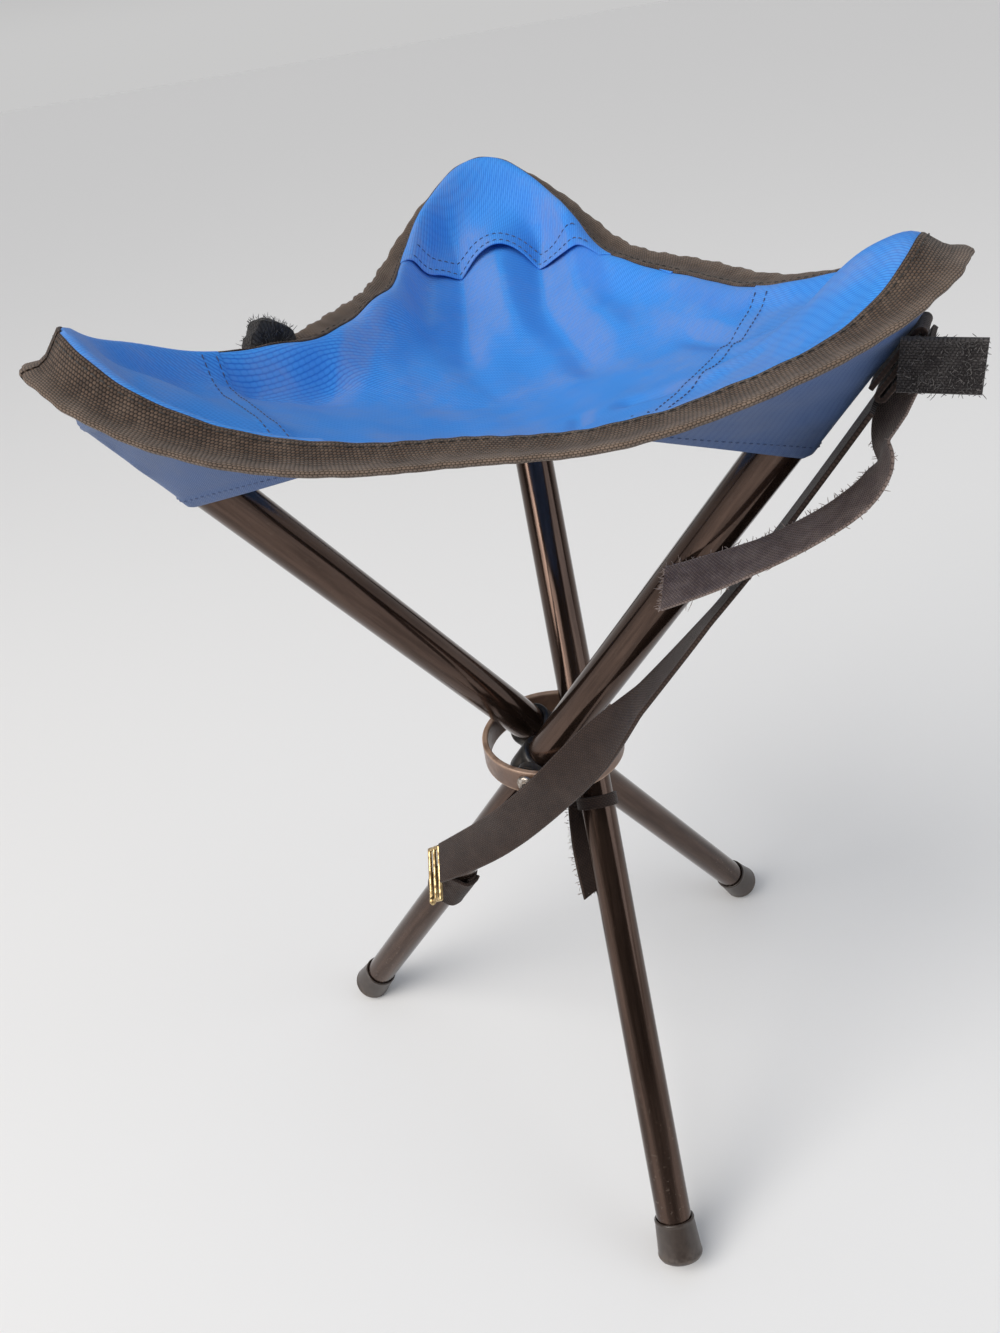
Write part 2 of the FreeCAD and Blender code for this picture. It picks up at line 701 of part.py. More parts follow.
# Keeper loop and hanging tail on the rear leg.
rear = frames["rear"]
keeper_outer = loop_inner + size["tail_thickness"]
keeper_base = Vector(0, 0, -size["keeper_reach"] - size["keeper_width"] / 2)
keeper = Part.makeCylinder(keeper_outer, size["keeper_width"], keeper_base)
keeper = keeper.cut(Part.makeCylinder(loop_inner, size["keeper_width"], keeper_base))
keep(shaped("keeper_web", keeper, rear), "tail_keeper")

hang = size["tail_length"]
tail_near = keeper_outer + size["tail_thickness"] / 2 + 0.1
tail_path = [
    (-3.5, tail_near, -size["keeper_reach"] + 4.0),
    (-6.0, tail_near + 0.8, -size["keeper_reach"] - hang * 0.3),
    (-7.0, tail_near + 0.4, -size["keeper_reach"] - hang * 0.65),
    (-6.0, tail_near, -size["keeper_reach"] - hang),
]
tail = band_along(tail_path, (90, 74, 68, 68), size["tail_width"], size["tail_thickness"], 12)
keep(shaped("tail_web", tail, rear), "strap_tail")

doc.recompute()
for item in doc.Objects:
    if "Invalid" in item.State or "Error" in item.State:
        raise RuntimeError("%s did not compute" % item.Name)
for item in nodes:
    if item.Shape.isNull() or not item.Shape.isValid() or not item.Shape.Solids:
        raise RuntimeError("%s has no valid solid" % item.Label)

os.makedirs("parts", exist_ok=True)
for item in nodes:
    item.Shape.exportStep("parts/%s.step" % item.Label)
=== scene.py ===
import math

import bpy
import numpy as np
from mathutils import Matrix


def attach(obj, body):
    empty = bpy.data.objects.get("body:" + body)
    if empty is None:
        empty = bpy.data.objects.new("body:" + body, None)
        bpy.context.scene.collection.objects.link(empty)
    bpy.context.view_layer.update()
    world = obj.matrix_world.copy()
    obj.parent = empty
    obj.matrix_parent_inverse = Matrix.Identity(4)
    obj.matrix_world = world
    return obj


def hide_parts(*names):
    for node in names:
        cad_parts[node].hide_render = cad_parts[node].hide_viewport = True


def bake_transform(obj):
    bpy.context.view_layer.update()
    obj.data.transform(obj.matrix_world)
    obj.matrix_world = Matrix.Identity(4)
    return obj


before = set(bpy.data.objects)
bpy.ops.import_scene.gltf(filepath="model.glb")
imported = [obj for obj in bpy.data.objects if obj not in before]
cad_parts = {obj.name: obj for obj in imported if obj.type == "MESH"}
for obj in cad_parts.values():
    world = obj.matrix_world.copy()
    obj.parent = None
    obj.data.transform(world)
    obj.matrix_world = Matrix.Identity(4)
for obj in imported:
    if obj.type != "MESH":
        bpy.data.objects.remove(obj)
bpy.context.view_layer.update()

# ------------------------------------------------------------------ hub ring
# A band of flat steel bent to a ring and painted bronze brown. All three legs are riveted to it from inside,
# and its paint is paler along its two rims, in patches.
MM = 0.001
PIVOT_HEIGHT = 219.643 * MM
RING_HALF_HEIGHT = 6.5 * MM
RING_BRONZE = (0.205, 0.118, 0.078, 1)
RING_RIM_PALE = (0.46, 0.31, 0.22, 1)
RING_SHADE = (0.105, 0.062, 0.044, 1)


def node(tree, kind, inputs=None, **settings):
    """Adds one shader node. An input takes a plain value or the socket that feeds it."""
    made = tree.nodes.new("ShaderNode" + kind)
    for name, value in settings.items():
        setattr(made, name, value)
    for key, value in (inputs or {}).items():
        if isinstance(value, bpy.types.NodeSocket):
            tree.links.new(value, made.inputs[key])
        else:
            made.inputs[key].default_value = value
    return made


def maths(tree, operation, first, second=0.0, third=0.0):
    """One step of arithmetic on values or sockets."""
    made = node(tree, "Math", {0: first, 1: second, 2: third}, operation=operation)
    return made.outputs[0]


def mixed(tree, share, first, second, blend="MIX"):
    """Colour between first and second, by a share from 0 to 1."""
    made = node(tree, "Mix", {0: share, 6: first, 7: second}, data_type="RGBA", blend_type=blend)
    return made.outputs[2]


def spread(tree, value, low, high, to_low=0.0, to_high=1.0):
    """A value eased from low..high onto another range, level beyond both ends."""
    made = node(tree, "MapRange", {0: value, 1: low, 2: high, 3: to_low, 4: to_high},
                interpolation_type="SMOOTHSTEP")
    return made.outputs[0]


def new_group(name, inputs, outputs):
    """An empty shader group with float inputs (Vector is a vector) and float outputs."""
    tree = bpy.data.node_groups.new(name, "ShaderNodeTree")
    for label, value in inputs:
        kind = "NodeSocketVector" if label == "Vector" else "NodeSocketFloat"
        socket = tree.interface.new_socket(label, in_out="INPUT", socket_type=kind)
        if label != "Vector":
            socket.default_value = value
    for label in outputs:
        tree.interface.new_socket(label, in_out="OUTPUT", socket_type="NodeSocketFloat")
    return tree, tree.nodes.new("NodeGroupInput").outputs, tree.nodes.new("NodeGroupOutput").inputs


def finish(name, **constants):
    """A material with one Principled shader, its plain values set on its own sockets."""
    material = bpy.data.materials.new(name)
    material.use_nodes = True
    shader = material.node_tree.nodes["Principled BSDF"]
    for label, value in constants.items():
        shader.inputs[label.replace("_", " ").title().replace("Ior", "IOR")].default_value = value
    return material, material.node_tree, shader


def dress(node_name, material):
    """Gives a CAD node its finish."""
    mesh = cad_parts[node_name].data
    mesh.materials.clear()
    mesh.materials.append(material)


# Patches: cloudy noise of a given feature size, cut to a soft mask at a given level.
patches, given, out = new_group(
    "patches", [("Vector", 0), ("Size", 0.01), ("Level", 0.5), ("Softness", 0.1)], ["Mask"])
clouds = node(patches, "TexNoise", {
    "Vector": given["Vector"], "Detail": 5.0, "Roughness": 0.62,
    "Scale": maths(patches, "DIVIDE", 1.0, given["Size"])})
low = maths(patches, "SUBTRACT", given["Level"], given["Softness"])
high = maths(patches, "ADD", given["Level"], given["Softness"])
patches.links.new(spread(patches, clouds.outputs[0], low, high), out["Mask"])


def patch_mask(tree, vector, size, level=0.5, softness=0.1):
    """Places the patches group and returns its mask."""
    return node(tree, "Group", {"Vector": vector, "Size": size, "Level": level,
                                "Softness": softness}, node_tree=patches).outputs[0]


ring_paint, tree, shader = finish("ring_paint", roughness=0.4, metallic=0.25, coat_weight=0.25,
                                  coat_roughness=0.3)
place = node(tree, "TexCoord").outputs["Object"]
height = node(tree, "SeparateXYZ", {0: place}).outputs[2]
off_middle = maths(tree, "ABSOLUTE", maths(tree, "SUBTRACT", height, PIVOT_HEIGHT))
# The paint is paler along the two rims, in patches.
rim = spread(tree, off_middle, RING_HALF_HEIGHT - 1.9 * MM, RING_HALF_HEIGHT)
rim = maths(tree, "MULTIPLY", rim, patch_mask(tree, place, 9 * MM, 0.42, 0.2))
tone = mixed(tree, patch_mask(tree, place, 16 * MM, 0.52, 0.2), RING_BRONZE, RING_SHADE)
tree.links.new(mixed(tree, rim, tone, RING_RIM_PALE), shader.inputs["Base Color"])
tree.links.new(spread(tree, patch_mask(tree, place, 3 * MM, 0.5, 0.3), 0, 1, 0.32, 0.5),
               shader.inputs["Roughness"])
grain = node(tree, "TexNoise", {"Vector": place, "Scale": 900.0, "Detail": 2.0})
tree.links.new(node(tree, "Bump", {"Height": grain.outputs[0], "Strength": 0.25,
                                   "Distance": 0.15 * MM}).outputs[0], shader.inputs["Normal"])
dress("hub_ring", ring_paint)

# ------------------------------------------------------------------ rivets and washers
# Semi-tubular steel rivets hold the legs to the ring. Each has a low domed head with a
# rolled eye in its middle, and a black plastic washer keeps the leg off the band.
LEG_TURNS = {"rear": 0.0, "left": 120.0, "right": 240.0}
LEG_CIRCLE = 16.2 * MM
LEG_TILT = math.radians(34.8)
HEAD_TOP = 37.7 * MM
EYE_RADIUS = 1.75 * MM
EYE_WIRE = 0.62 * MM
STEEL = (0.50, 0.46, 0.42, 1)
STEEL_TARNISH = (0.20, 0.155, 0.12, 1)
PLASTIC_BLACK = (0.018, 0.017, 0.017, 1)
PLASTIC_DUST = (0.075, 0.066, 0.058, 1)


def leg_axes(leg):
    """Rows out, under and along of a leg's own frame: out along its rivet, across under the
    tube, and up the tube. The tube leans by its tilt about the rivet."""
    turn = math.radians(LEG_TURNS[leg])
    ahead = np.array([-math.sin(turn), math.cos(turn), 0.0])
    up = np.array([0.0, 0.0, 1.0])
    return np.array([
        [math.cos(turn), math.sin(turn), 0.0],
        math.cos(LEG_TILT) * ahead - math.sin(LEG_TILT) * up,
        math.cos(LEG_TILT) * up + math.sin(LEG_TILT) * ahead])


def leg_pivot(leg):
    """The point on the tube's axis where its rivet crosses it."""
    return np.array([0.0, 0.0, PIVOT_HEIGHT]) + LEG_CIRCLE * leg_axes(leg)[0]


def on_leg(leg, local):
    """Points given as (out, under, along) in a leg's frame, moved to the row frame."""
    return leg_pivot(leg) + np.asarray(local) @ leg_axes(leg)


def grid_quads(rows, columns, closed):
    """Quads between neighbouring points of a grid; closed joins the last column to the first."""
    i, j = np.meshgrid(np.arange(rows - 1), np.arange(columns - (not closed)), indexing="ij")
    a, b = i * columns + j, i * columns + (j + 1) % columns
    return np.stack([a, b, b + columns, a + columns], -1).reshape(-1, 4)


def make_piece(name, points, faces, material, uv=None, crisp=0.7, tint=None):
    """A mesh object from points and faces. The faces are turned outwards by the sign of the
    volume they enclose, and edges sharper than crisp radians stay crisp. The tint is one value
    for each point, which a finish may read."""
    points = np.asarray(points, float).reshape(-1, 3)
    volume = 0.0
    for block in faces:
        corner = points[block] - points.mean(0)
        for k in range(1, block.shape[1] - 1):
            volume += np.einsum("ij,ij->", corner[:, 0], np.cross(corner[:, k], corner[:, k + 1]))
    if volume < 0:
        faces = [block[:, ::-1] for block in faces]
    mesh = bpy.data.meshes.new(name)
    mesh.from_pydata(points.tolist(), [], [f for block in faces for f in block.tolist()])
    if uv is not None:
        corner_of = np.zeros(len(mesh.loops), np.int32)
        mesh.loops.foreach_get("vertex_index", corner_of)
        layer = mesh.uv_layers.new(name="thread_lay")
        layer.data.foreach_set("uv", np.asarray(uv, np.float32).reshape(-1, 2)[corner_of].ravel())
    if tint is not None:
        mesh.attributes.new("tint", "FLOAT", "POINT").data.foreach_set(
            "value", np.asarray(tint, np.float32).ravel())
    mesh.polygons.foreach_set("use_smooth", np.ones(len(mesh.polygons), bool))
    mesh.set_sharp_from_angle(angle=crisp)
    mesh.materials.append(material)
    piece = bpy.data.objects.new(name, mesh)
    bpy.context.scene.collection.objects.link(piece)
    return piece


def turned(profile, leg, sides=48):
    """A closed profile of (radius, along) carried round a leg's axis: each point goes round a
    circle of its radius. The profile starts and ends on the axis."""
    angle = np.linspace(0, 2 * np.pi, sides, endpoint=False)
    radius, along = np.asarray(profile, float).T
    rows = np.stack([radius[:, None] * np.cos(angle), radius[:, None] * np.sin(angle),
                     np.repeat(along[:, None], sides, 1)], -1)
    return on_leg(leg, rows), [grid_quads(len(radius), sides, True)]


steel, tree, shader = finish("rivet_steel", metallic=0.9, roughness=0.35)
place = node(tree, "TexCoord").outputs["Object"]
tarnish = patch_mask(tree, place, 2.5 * MM, 0.5, 0.15)
tree.links.new(mixed(tree, tarnish, STEEL, STEEL_TARNISH), shader.inputs["Base Color"])
tree.links.new(spread(tree, tarnish, 0, 1, 0.26, 0.55), shader.inputs["Roughness"])
dress("rivets", steel)

plastic, tree, shader = finish("black_plastic", roughness=0.42, coat_weight=0.1)
place = node(tree, "TexCoord").outputs["Object"]
dust = patch_mask(tree, place, 7 * MM, 0.6, 0.16)
tree.links.new(mixed(tree, dust, PLASTIC_BLACK, PLASTIC_DUST), shader.inputs["Base Color"])
tree.links.new(spread(tree, dust, 0, 1, 0.36, 0.62), shader.inputs["Roughness"])
pebble = node(tree, "TexNoise", {"Vector": place, "Scale": 1400.0, "Detail": 1.0})
tree.links.new(node(tree, "Bump", {"Height": pebble.outputs[0], "Strength": 0.2,
                                   "Distance": 0.1 * MM}).outputs[0], shader.inputs["Normal"])
dress("spacer_washers", plastic)

for leg in LEG_TURNS:
    ring_turn = np.linspace(0, 2 * np.pi, 40, endpoint=False)
    wire_turn = np.linspace(0, 2 * np.pi, 14, endpoint=False)
    across = EYE_RADIUS + EYE_WIRE * np.cos(wire_turn)
    rolled = np.stack([
        np.broadcast_to(HEAD_TOP - LEG_CIRCLE + EYE_WIRE * 0.55 * np.sin(wire_turn), (40, 14)),
        across * np.cos(ring_turn)[:, None], across * np.sin(ring_turn)[:, None]], -1)
    quads = grid_quads(41, 14, True) % (40 * 14)
    eye = make_piece("rivet_eye_" + leg, on_leg(leg, rolled), [quads], steel)
    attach(eye, "hub")

# ------------------------------------------------------------------ leg tubes
# Each leg is two welded steel tubes, the lower one pushed into the upper one, painted a
# glossy dark brown. The paint is a little rubbed and dusty towards the foot.
PAINT_BROWN = (0.050, 0.030, 0.022, 1)
PAINT_WARM = (0.105, 0.066, 0.050, 1)
PAINT_DUST = (0.19, 0.148, 0.122, 1)
LOWER_REACH = 262.0 * MM


def leg_place_socket(tree, leg):
    """Object coordinates turned into the leg's own (out, under, along)."""
    turned_frame = Matrix(leg_axes(leg).T.tolist()).to_euler()
    return node(tree, "Mapping", {
        "Vector": node(tree, "TexCoord").outputs["Object"],
        "Location": leg_pivot(leg).tolist(), "Rotation": list(turned_frame)},
        vector_type="TEXTURE").outputs[0]


for leg in LEG_TURNS:
    paint, tree, shader = finish("tube_paint_" + leg, roughness=0.2, metallic=0.85, coat_weight=0.15,
                                 coat_roughness=0.1)
    place = leg_place_socket(tree, leg)
    along = node(tree, "SeparateXYZ", {0: place}).outputs[2]
    drawn = node(tree, "Mapping", {"Vector": place, "Scale": (1, 1, 0.06)}).outputs[0]
    streak = patch_mask(tree, drawn, 3.2 * MM, 0.5, 0.22)
    tone = mixed(tree, streak, PAINT_BROWN, PAINT_WARM)
    low_end = spread(tree, along, -LOWER_REACH * 0.45, -LOWER_REACH * 0.98)
    speck = patch_mask(tree, place, 2.2 * MM, 0.63, 0.05)
    dusty = maths(tree, "MULTIPLY", speck, spread(tree, low_end, 0, 1, 0.10, 0.5))
    tree.links.new(mixed(tree, dusty, tone, PAINT_DUST), shader.inputs["Base Color"])
    tree.links.new(spread(tree, maths(tree, "ADD", dusty, maths(tree, "MULTIPLY", streak, 0.25)),
                          0, 1, 0.14, 0.45), shader.inputs["Roughness"])
    ripple = node(tree, "TexNoise", {"Vector": drawn, "Scale": 420.0, "Detail": 2.0})
    tree.links.new(node(tree, "Bump", {"Height": ripple.outputs[0], "Strength": 0.12,
                                       "Distance": 0.1 * MM}).outputs[0], shader.inputs["Normal"])
    for part in ("_upper_tube", "_lower_tube"):
        dress(leg + part, paint)
    for part in ("_collar", "_top_plug"):
        dress(leg + part, plastic)

# ------------------------------------------------------------------ foot caps
# Soft plastic cups pressed onto the ends of the legs: a thin rolled lip at the mouth, a
# flared skirt, a raised bead round the sole, and the sole worn flat by the floor.
CAP_BROWN = (0.040, 0.029, 0.024, 1)
CAP_SCUFF = (0.125, 0.098, 0.080, 1)
CAP_END = -262.0 * MM

for leg in LEG_TURNS:
    cap_plastic, tree, shader = finish("cap_plastic_" + leg, roughness=0.4, coat_weight=0.12)
    place = leg_place_socket(tree, leg)
    along = node(tree, "SeparateXYZ", {0: place}).outputs[2]
    scuff = maths(tree, "MULTIPLY", patch_mask(tree, place, 4 * MM, 0.5, 0.16),
                  spread(tree, along, CAP_END + 9 * MM, CAP_END, 0.15, 0.8))
    tree.links.new(mixed(tree, scuff, CAP_BROWN, CAP_SCUFF), shader.inputs["Base Color"])
    tree.links.new(spread(tree, scuff, 0, 1, 0.34, 0.68), shader.inputs["Roughness"])
    pebble = node(tree, "TexNoise", {"Vector": place, "Scale": 1500.0, "Detail": 1.0})
    tree.links.new(node(tree, "Bump", {"Height": pebble.outputs[0], "Strength": 0.15,
                                       "Distance": 0.1 * MM}).outputs[0], shader.inputs["Normal"])
    skirt = [(0, -5.2), (8.75, -5.2), (8.75, 19.6), (9.0, 20.1), (9.45, 20.15), (9.85, 19.8),
             (9.95, 19.2), (9.8, 18.5), (9.82, 18.0), (10.1, 14.0), (10.45, 9.0), (10.75, 5.0),
             (10.85, 3.9), (11.0, 3.5), (11.05, 2.9), (10.85, 2.2), (10.3, 1.2), (9.3, 0.45),
             (8.0, 0.12), (5.0, 0.0), (0, 0.0)]
    skirt = np.array(skirt) * MM + [0, CAP_END]
    skirt[:2, 1] = CAP_END + 5.0 * MM
    cap_points, cap_faces = turned(skirt, leg)
    cap_points[..., 2] = np.maximum(cap_points[..., 2], 0.0)
    cap = make_piece("foot_cap_" + leg, cap_points, cap_faces, cap_plastic, crisp=0.9)
    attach(cap, leg + "_leg")
    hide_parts(leg + "_foot_cap")

# ------------------------------------------------------------------ seat panel
# One panel of blue ribbed polyester, cut as a triangle with hollow sides. It hangs from
# the three leg ends as a shallow dish, creased where the corners pull on it.
THIRD = 2 * math.pi / 3
CORNERS = ("rear", "left", "right")
CORNER_TURN = math.radians(83.95)
CORNER_REACH = (166.81, 174.81, 174.81)
CORNER_HEIGHT = (463.71, 451.21, 443.21)
CORNER_TAPER = (1.85, 1.2, 1.4)
CORNER_PEAK = (4.0, 3.1, 1.5)
CORNER_BUMP = (1.5, 11.0, 18.0)
CORNER_CREST = (15.0, 12.0, 4.0)
SIDE_REACH = (86.0, 115.0, 110.0)
SIDE_HEIGHT = (429.71, 413.71, 426.21)
SIDE_CREST = (11.0, 6.0, 5.0)
CREST_INSET = 17.5
CREST_SPREAD = 7.5
CREST_POWER = 0.76
SEAT_LOW = 392.71
BUMP_PLAN = 146.0
BUMP_SPREAD = 24.0
PANEL_TOP = 1.3
PANEL_UNDER = 0.5
CLOTH_BLUE = (0.048, 0.295, 0.80, 1)
CLOTH_DEEP = (0.024, 0.175, 0.62, 1)
# The grey of faded patches, and of the painted sheen on folds that face the light.
CLOTH_FADED_AND_SHEEN = (0.185, 0.265, 0.53, 1)
# Creases in plan: start x, y, end x, y, half width and rise, in millimetres.
CREASES = np.array([
    (-106, -6, -72, 4, 5.0, -2.6),
    (-72, 4, -52, 52, 8.0, -2.4),
    (-150, -26, -106, -10, 7.0, 2.2),
    (-158, -48, -112, -34, 9.0, -1.6),
    (-118, -60, -80, -58, 9.0, 1.8),
    (-60, 20, -20, 74, 9.0, 2.2),
    (-8, 86, -10, 40, 7.0, -1.8),
    (12, 100, 16, 52, 8.0, 1.8),
    (33, 58, 40, 6, 8.0, -2.6),
    (46, 74, 58, 22, 8.0, 1.8),
    (78, 4, 88, -42, 6.0, -2.2),
    (75, 34, 96, -18, 9.0, 2.0),
    (84, -44, 128, -104, 8.0, 2.4),
    (58, -60, 38, -51, 6.0, -2.4),
    (96, -70, 60, -72, 6.0, 2.0),
    (20, -66, 24, -44, 4.0, -1.5),
    (-30, -40, 30, -30, 16.0, -1.4)], float)


def through_three(values, angle):
    """Mean and first harmonic of the wave that meets three values a third of a turn apart."""
    values = np.asarray(values, float)
    step = np.arange(3) * THIRD
    return (values.mean() + (values @ np.cos(step)) * 2 / 3 * np.cos(angle)
            + (values @ np.sin(step)) * 2 / 3 * np.sin(angle))


def seat_edge(turn):
    """Reach and height of the seat's edge at a turn about the ring's axis: the wave through
    the sides, eased to the wave through the corners by a power of (1 + cos 3 turn) / 2."""
    angle = turn - CORNER_TURN
    peak = (1 + np.cos(3 * angle)) / 2
    side_reach = through_three(SIDE_REACH, angle - THIRD / 2)
    side_height = through_three(SIDE_HEIGHT, angle - THIRD / 2)
    out = peak ** through_three(CORNER_TAPER, angle)
    up = peak ** through_three(CORNER_PEAK, angle)
    return (side_reach + (through_three(CORNER_REACH, angle) - side_reach) * out,
            side_height + (through_three(CORNER_HEIGHT, angle) - side_height) * up)


def edge_lean(turn):
    """How far the seat's edge slants at a turn: a step along it over a step round the axis,
    at most 1.5."""
    step = 0.01
    reach = seat_edge(turn)[0]
    slope = (seat_edge(turn + step)[0] - seat_edge(turn - step)[0]) / (2 * step) / reach
    return np.minimum(np.hypot(1, slope), 1.5)


def inset_reach(turn, inset):
    """Reach of the line that runs the given distance inside the seat's edge."""
    return seat_edge(turn)[0] - inset * edge_lean(turn)


def creased(x, y):
    """Rise of all creases at a plan point: each is a ridge with a bell-shaped section about
    a line, eased out over its last quarter at both ends. Two long waves lie under them."""
    rise = 0.45 * np.sin(x / 9.1 + y / 17.0 + 0.7) * np.sin(y / 12.3 - x / 31.0)
    rise = rise + 0.25 * np.sin(x / 4.9 - y / 7.7) * np.sin(y / 5.3 + x / 15.0 + 1.1)
    for ax, ay, bx, by, half, height in CREASES:
        dx, dy = bx - ax, by - ay
        long = math.hypot(dx, dy)
        share = ((x - ax) * dx + (y - ay) * dy) / long ** 2
        off = ((x - ax) * dy - (y - ay) * dx) / long
        near = np.clip((0.75 - np.abs(share - 0.5)) / 0.5, 0, 1)
        rise = rise + height * near ** 2 * (3 - 2 * near) * np.exp(-(off / half) ** 2)
    return rise


def rear_waves(x, y):
    """Soft pleats that fall from the hem of the rear corner patch: a row of bells across the
    corner, strongest at the hem and dying out 45 mm below and 40 mm above it."""
    turn = CORNER_TURN
    p = x * np.cos(turn) + y * np.sin(turn)
    q = -x * np.sin(turn) + y * np.cos(turn)
    fade = np.exp(-((p - 98) / np.where(p > 98, 24, 30)) ** 2)
    rise = 0
    for centre, half, height in ((30, 8, 2.0), (16, 6, -2.6), (-4, 10, 3.2), (-22, 6, -2.4),
                                 (-37, 8, 3.0), (-52, 7, -1.8)):
        rise = rise + height * np.exp(-((q - centre) / half) ** 2)
    return rise * fade


def seat_form(x, y):
    """Height of the smooth seat over a plan point: a bowl that rises as the 1.5th power of the
    share of the reach, a bump over each leg end, and a rounded crest just inside the edge."""
    turn = np.arctan2(y, x)
    reach, height = seat_edge(turn)
    share = np.hypot(x, y) / reach
    level = SEAT_LOW + (height - SEAT_LOW) * share ** 1.5
    for index in range(3):
        at = CORNER_TURN + THIRD * index
        away = np.hypot(x - BUMP_PLAN * np.cos(at), y - BUMP_PLAN * np.sin(at))
        level = level + CORNER_BUMP[index] * np.exp(-(away / BUMP_SPREAD) ** 2)
    angle = turn - CORNER_TURN
    side = through_three(SIDE_CREST, angle - THIRD / 2)
    peak = ((1 + np.cos(3 * angle)) / 2) ** CREST_POWER
    crest = side + (through_three(CORNER_CREST, angle) - side) * peak
    inset = (reach - np.hypot(x, y)) / edge_lean(turn)
    return level + crest * np.exp(-((inset - CREST_INSET) / CREST_SPREAD) ** 2)


def folds(x, y):
    """Rise of all creases and pleats, fading out over the last fifth of the reach."""
    share = np.hypot(x, y) / seat_edge(np.arctan2(y, x))[0]
    inside = np.clip((1 - share) / 0.2, 0, 1)
    return inside ** 2 * (3 - 2 * inside) * (creased(x, y) + rear_waves(x, y))


def seat_level(x, y):
    """Height of the seat's underside over a plan point: the smooth form with its folds."""
    return seat_form(x, y) + folds(x, y)


def fold_light(x, y):
    """How steeply the folds face the left of the seat, from -1 to 1. The light falls from the left, and the
    cloth's finish paints sheen and shade on the folds by this value.
    """
    return np.tanh((folds(x + 1.5, y) - folds(x - 1.5, y)) / 3.0 / 0.28)


def shell(name, upper, under, uv, material, tint=None):
    """A sheet with thickness: two grids of points joined round their rim."""
    rows, columns = upper.shape[:2]
    count = rows * columns
    quads = grid_quads(rows, columns, False)
    index = np.arange(count).reshape(rows, columns)
    rim = np.concatenate([index[0, :-1], index[:-1, -1], index[-1, :0:-1], index[:0:-1, 0]])
    ahead = np.roll(rim, -1)
    walls = np.stack([ahead, rim, rim + count, ahead + count], -1)
    faces = [quads, quads[:, ::-1] + count, walls]
    return make_piece(name, np.concatenate([upper.reshape(-1, 3), under.reshape(-1, 3)]), faces,
                      material, np.concatenate([uv.reshape(-1, 2)] * 2),
                      tint=None if tint is None else np.concatenate([tint.ravel()] * 2))


def follow_corner(piece):
    """Bakes the placement of a piece of seat cloth into its mesh points."""
    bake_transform(piece)


# Woven threads: rows of rounded floats, each row shifted along by a share of a float. Without
# beads the rows are plain ribs.
woven, given, out = new_group(
    "woven_threads", [("Vector", 0), ("Along", 0.002), ("Across", 0.001), ("Shift", 0.5),
                      ("Beaded", 1.0)], ["Height", "Tone"])
axes = node(woven, "SeparateXYZ", {0: given["Vector"]}).outputs
row = maths(woven, "DIVIDE", axes[1], given["Across"])
row_index = maths(woven, "FLOOR", row)
column = maths(woven, "ADD", maths(woven, "DIVIDE", axes[0], given["Along"]),
               maths(woven, "MULTIPLY", row_index, given["Shift"]))
bulge = [maths(woven, "ABSOLUTE", maths(woven, "SINE", maths(woven, "MULTIPLY", x, math.pi)))
         for x in (column, row)]
beads = maths(woven, "MULTIPLY_ADD", maths(woven, "SUBTRACT", bulge[0], 1.0), given["Beaded"], 1.0)
float_height = maths(woven, "POWER", maths(woven, "MULTIPLY", beads, bulge[1]), 0.6)
woven.links.new(float_height, out["Height"])
which = node(woven, "CombineXYZ", {0: maths(woven, "FLOOR", column), 1: row_index})
woven.links.new(node(woven, "TexWhiteNoise", {0: which.outputs[0]}).outputs[0], out["Tone"])


def weave(tree, vector, along, across, shift, beaded=1.0):
    """Places the woven threads group; returns its height and its tone of each float."""
    made = node(tree, "Group", {"Vector": vector, "Along": along, "Across": across,
                                "Shift": shift, "Beaded": beaded}, node_tree=woven)
    return made.outputs["Height"], made.outputs["Tone"]


def blue_cloth(name, light, deep, faded_and_sheen):
    """Ribbed blue polyester: threads on the UV lay, with a painted grey sheen where the folds face the light
    and painted shade, a deeper blue, in their hollows, both read from the tint, and a little grime in
    patches."""
    material, tree, shader = finish(name, roughness=0.62, sheen_weight=0.12, sheen_roughness=0.4,
                                    sheen_tint=(0.7, 0.8, 1.0, 1), specular_ior_level=0.25)
    place = node(tree, "TexCoord").outputs["Object"]
    lay = node(tree, "UVMap", uv_map="thread_lay").outputs[0]
    lean = node(tree, "Attribute", attribute_name="tint").outputs["Fac"]
    rib, tone = weave(tree, lay, 3.0 * MM, 0.95 * MM, 0.31, 0.55)
    base = mixed(tree, spread(tree, rib, 0.2, 0.9), deep, light)
    cloudy = patch_mask(tree, place, 38 * MM, 0.52, 0.14)
    # Painted sheen: grey where the tint says the folds face the light, joined with random faded patches.
    sheen_and_faded = maths(tree, "MAXIMUM", spread(tree, lean, 0.05, 0.8, 0, 0.55),
                   maths(tree, "MULTIPLY", cloudy, 0.5))
    sheen_and_faded = maths(tree, "MULTIPLY", sheen_and_faded, spread(tree, tone, 0, 1, 0.6, 1.0))
    base = mixed(tree, sheen_and_faded, base, faded_and_sheen)
    # Painted shade: deeper blue where the tint says the folds face away from the light, with a few random
    # deeper patches.
    hollow = maths(tree, "ADD", spread(tree, lean, -0.1, -0.9, 0, 0.45),
                   maths(tree, "MULTIPLY", patch_mask(tree, place, 12 * MM, 0.62, 0.12), 0.14))
    base = mixed(tree, hollow, base, deep)
    tree.links.new(base, shader.inputs["Base Color"])
    tree.links.new(spread(tree, rib, 0, 1, 0.78, 0.52), shader.inputs["Roughness"])
    tree.links.new(node(tree, "Bump", {"Height": rib, "Strength": 0.5,
                                       "Distance": 0.25 * MM}).outputs[0], shader.inputs["Normal"])
    return material


seat_cloth = blue_cloth("seat_cloth", CLOTH_BLUE, CLOTH_DEEP, CLOTH_FADED_AND_SHEEN)
LAY_TURN = math.radians(30)
PANEL_STEPS = 150


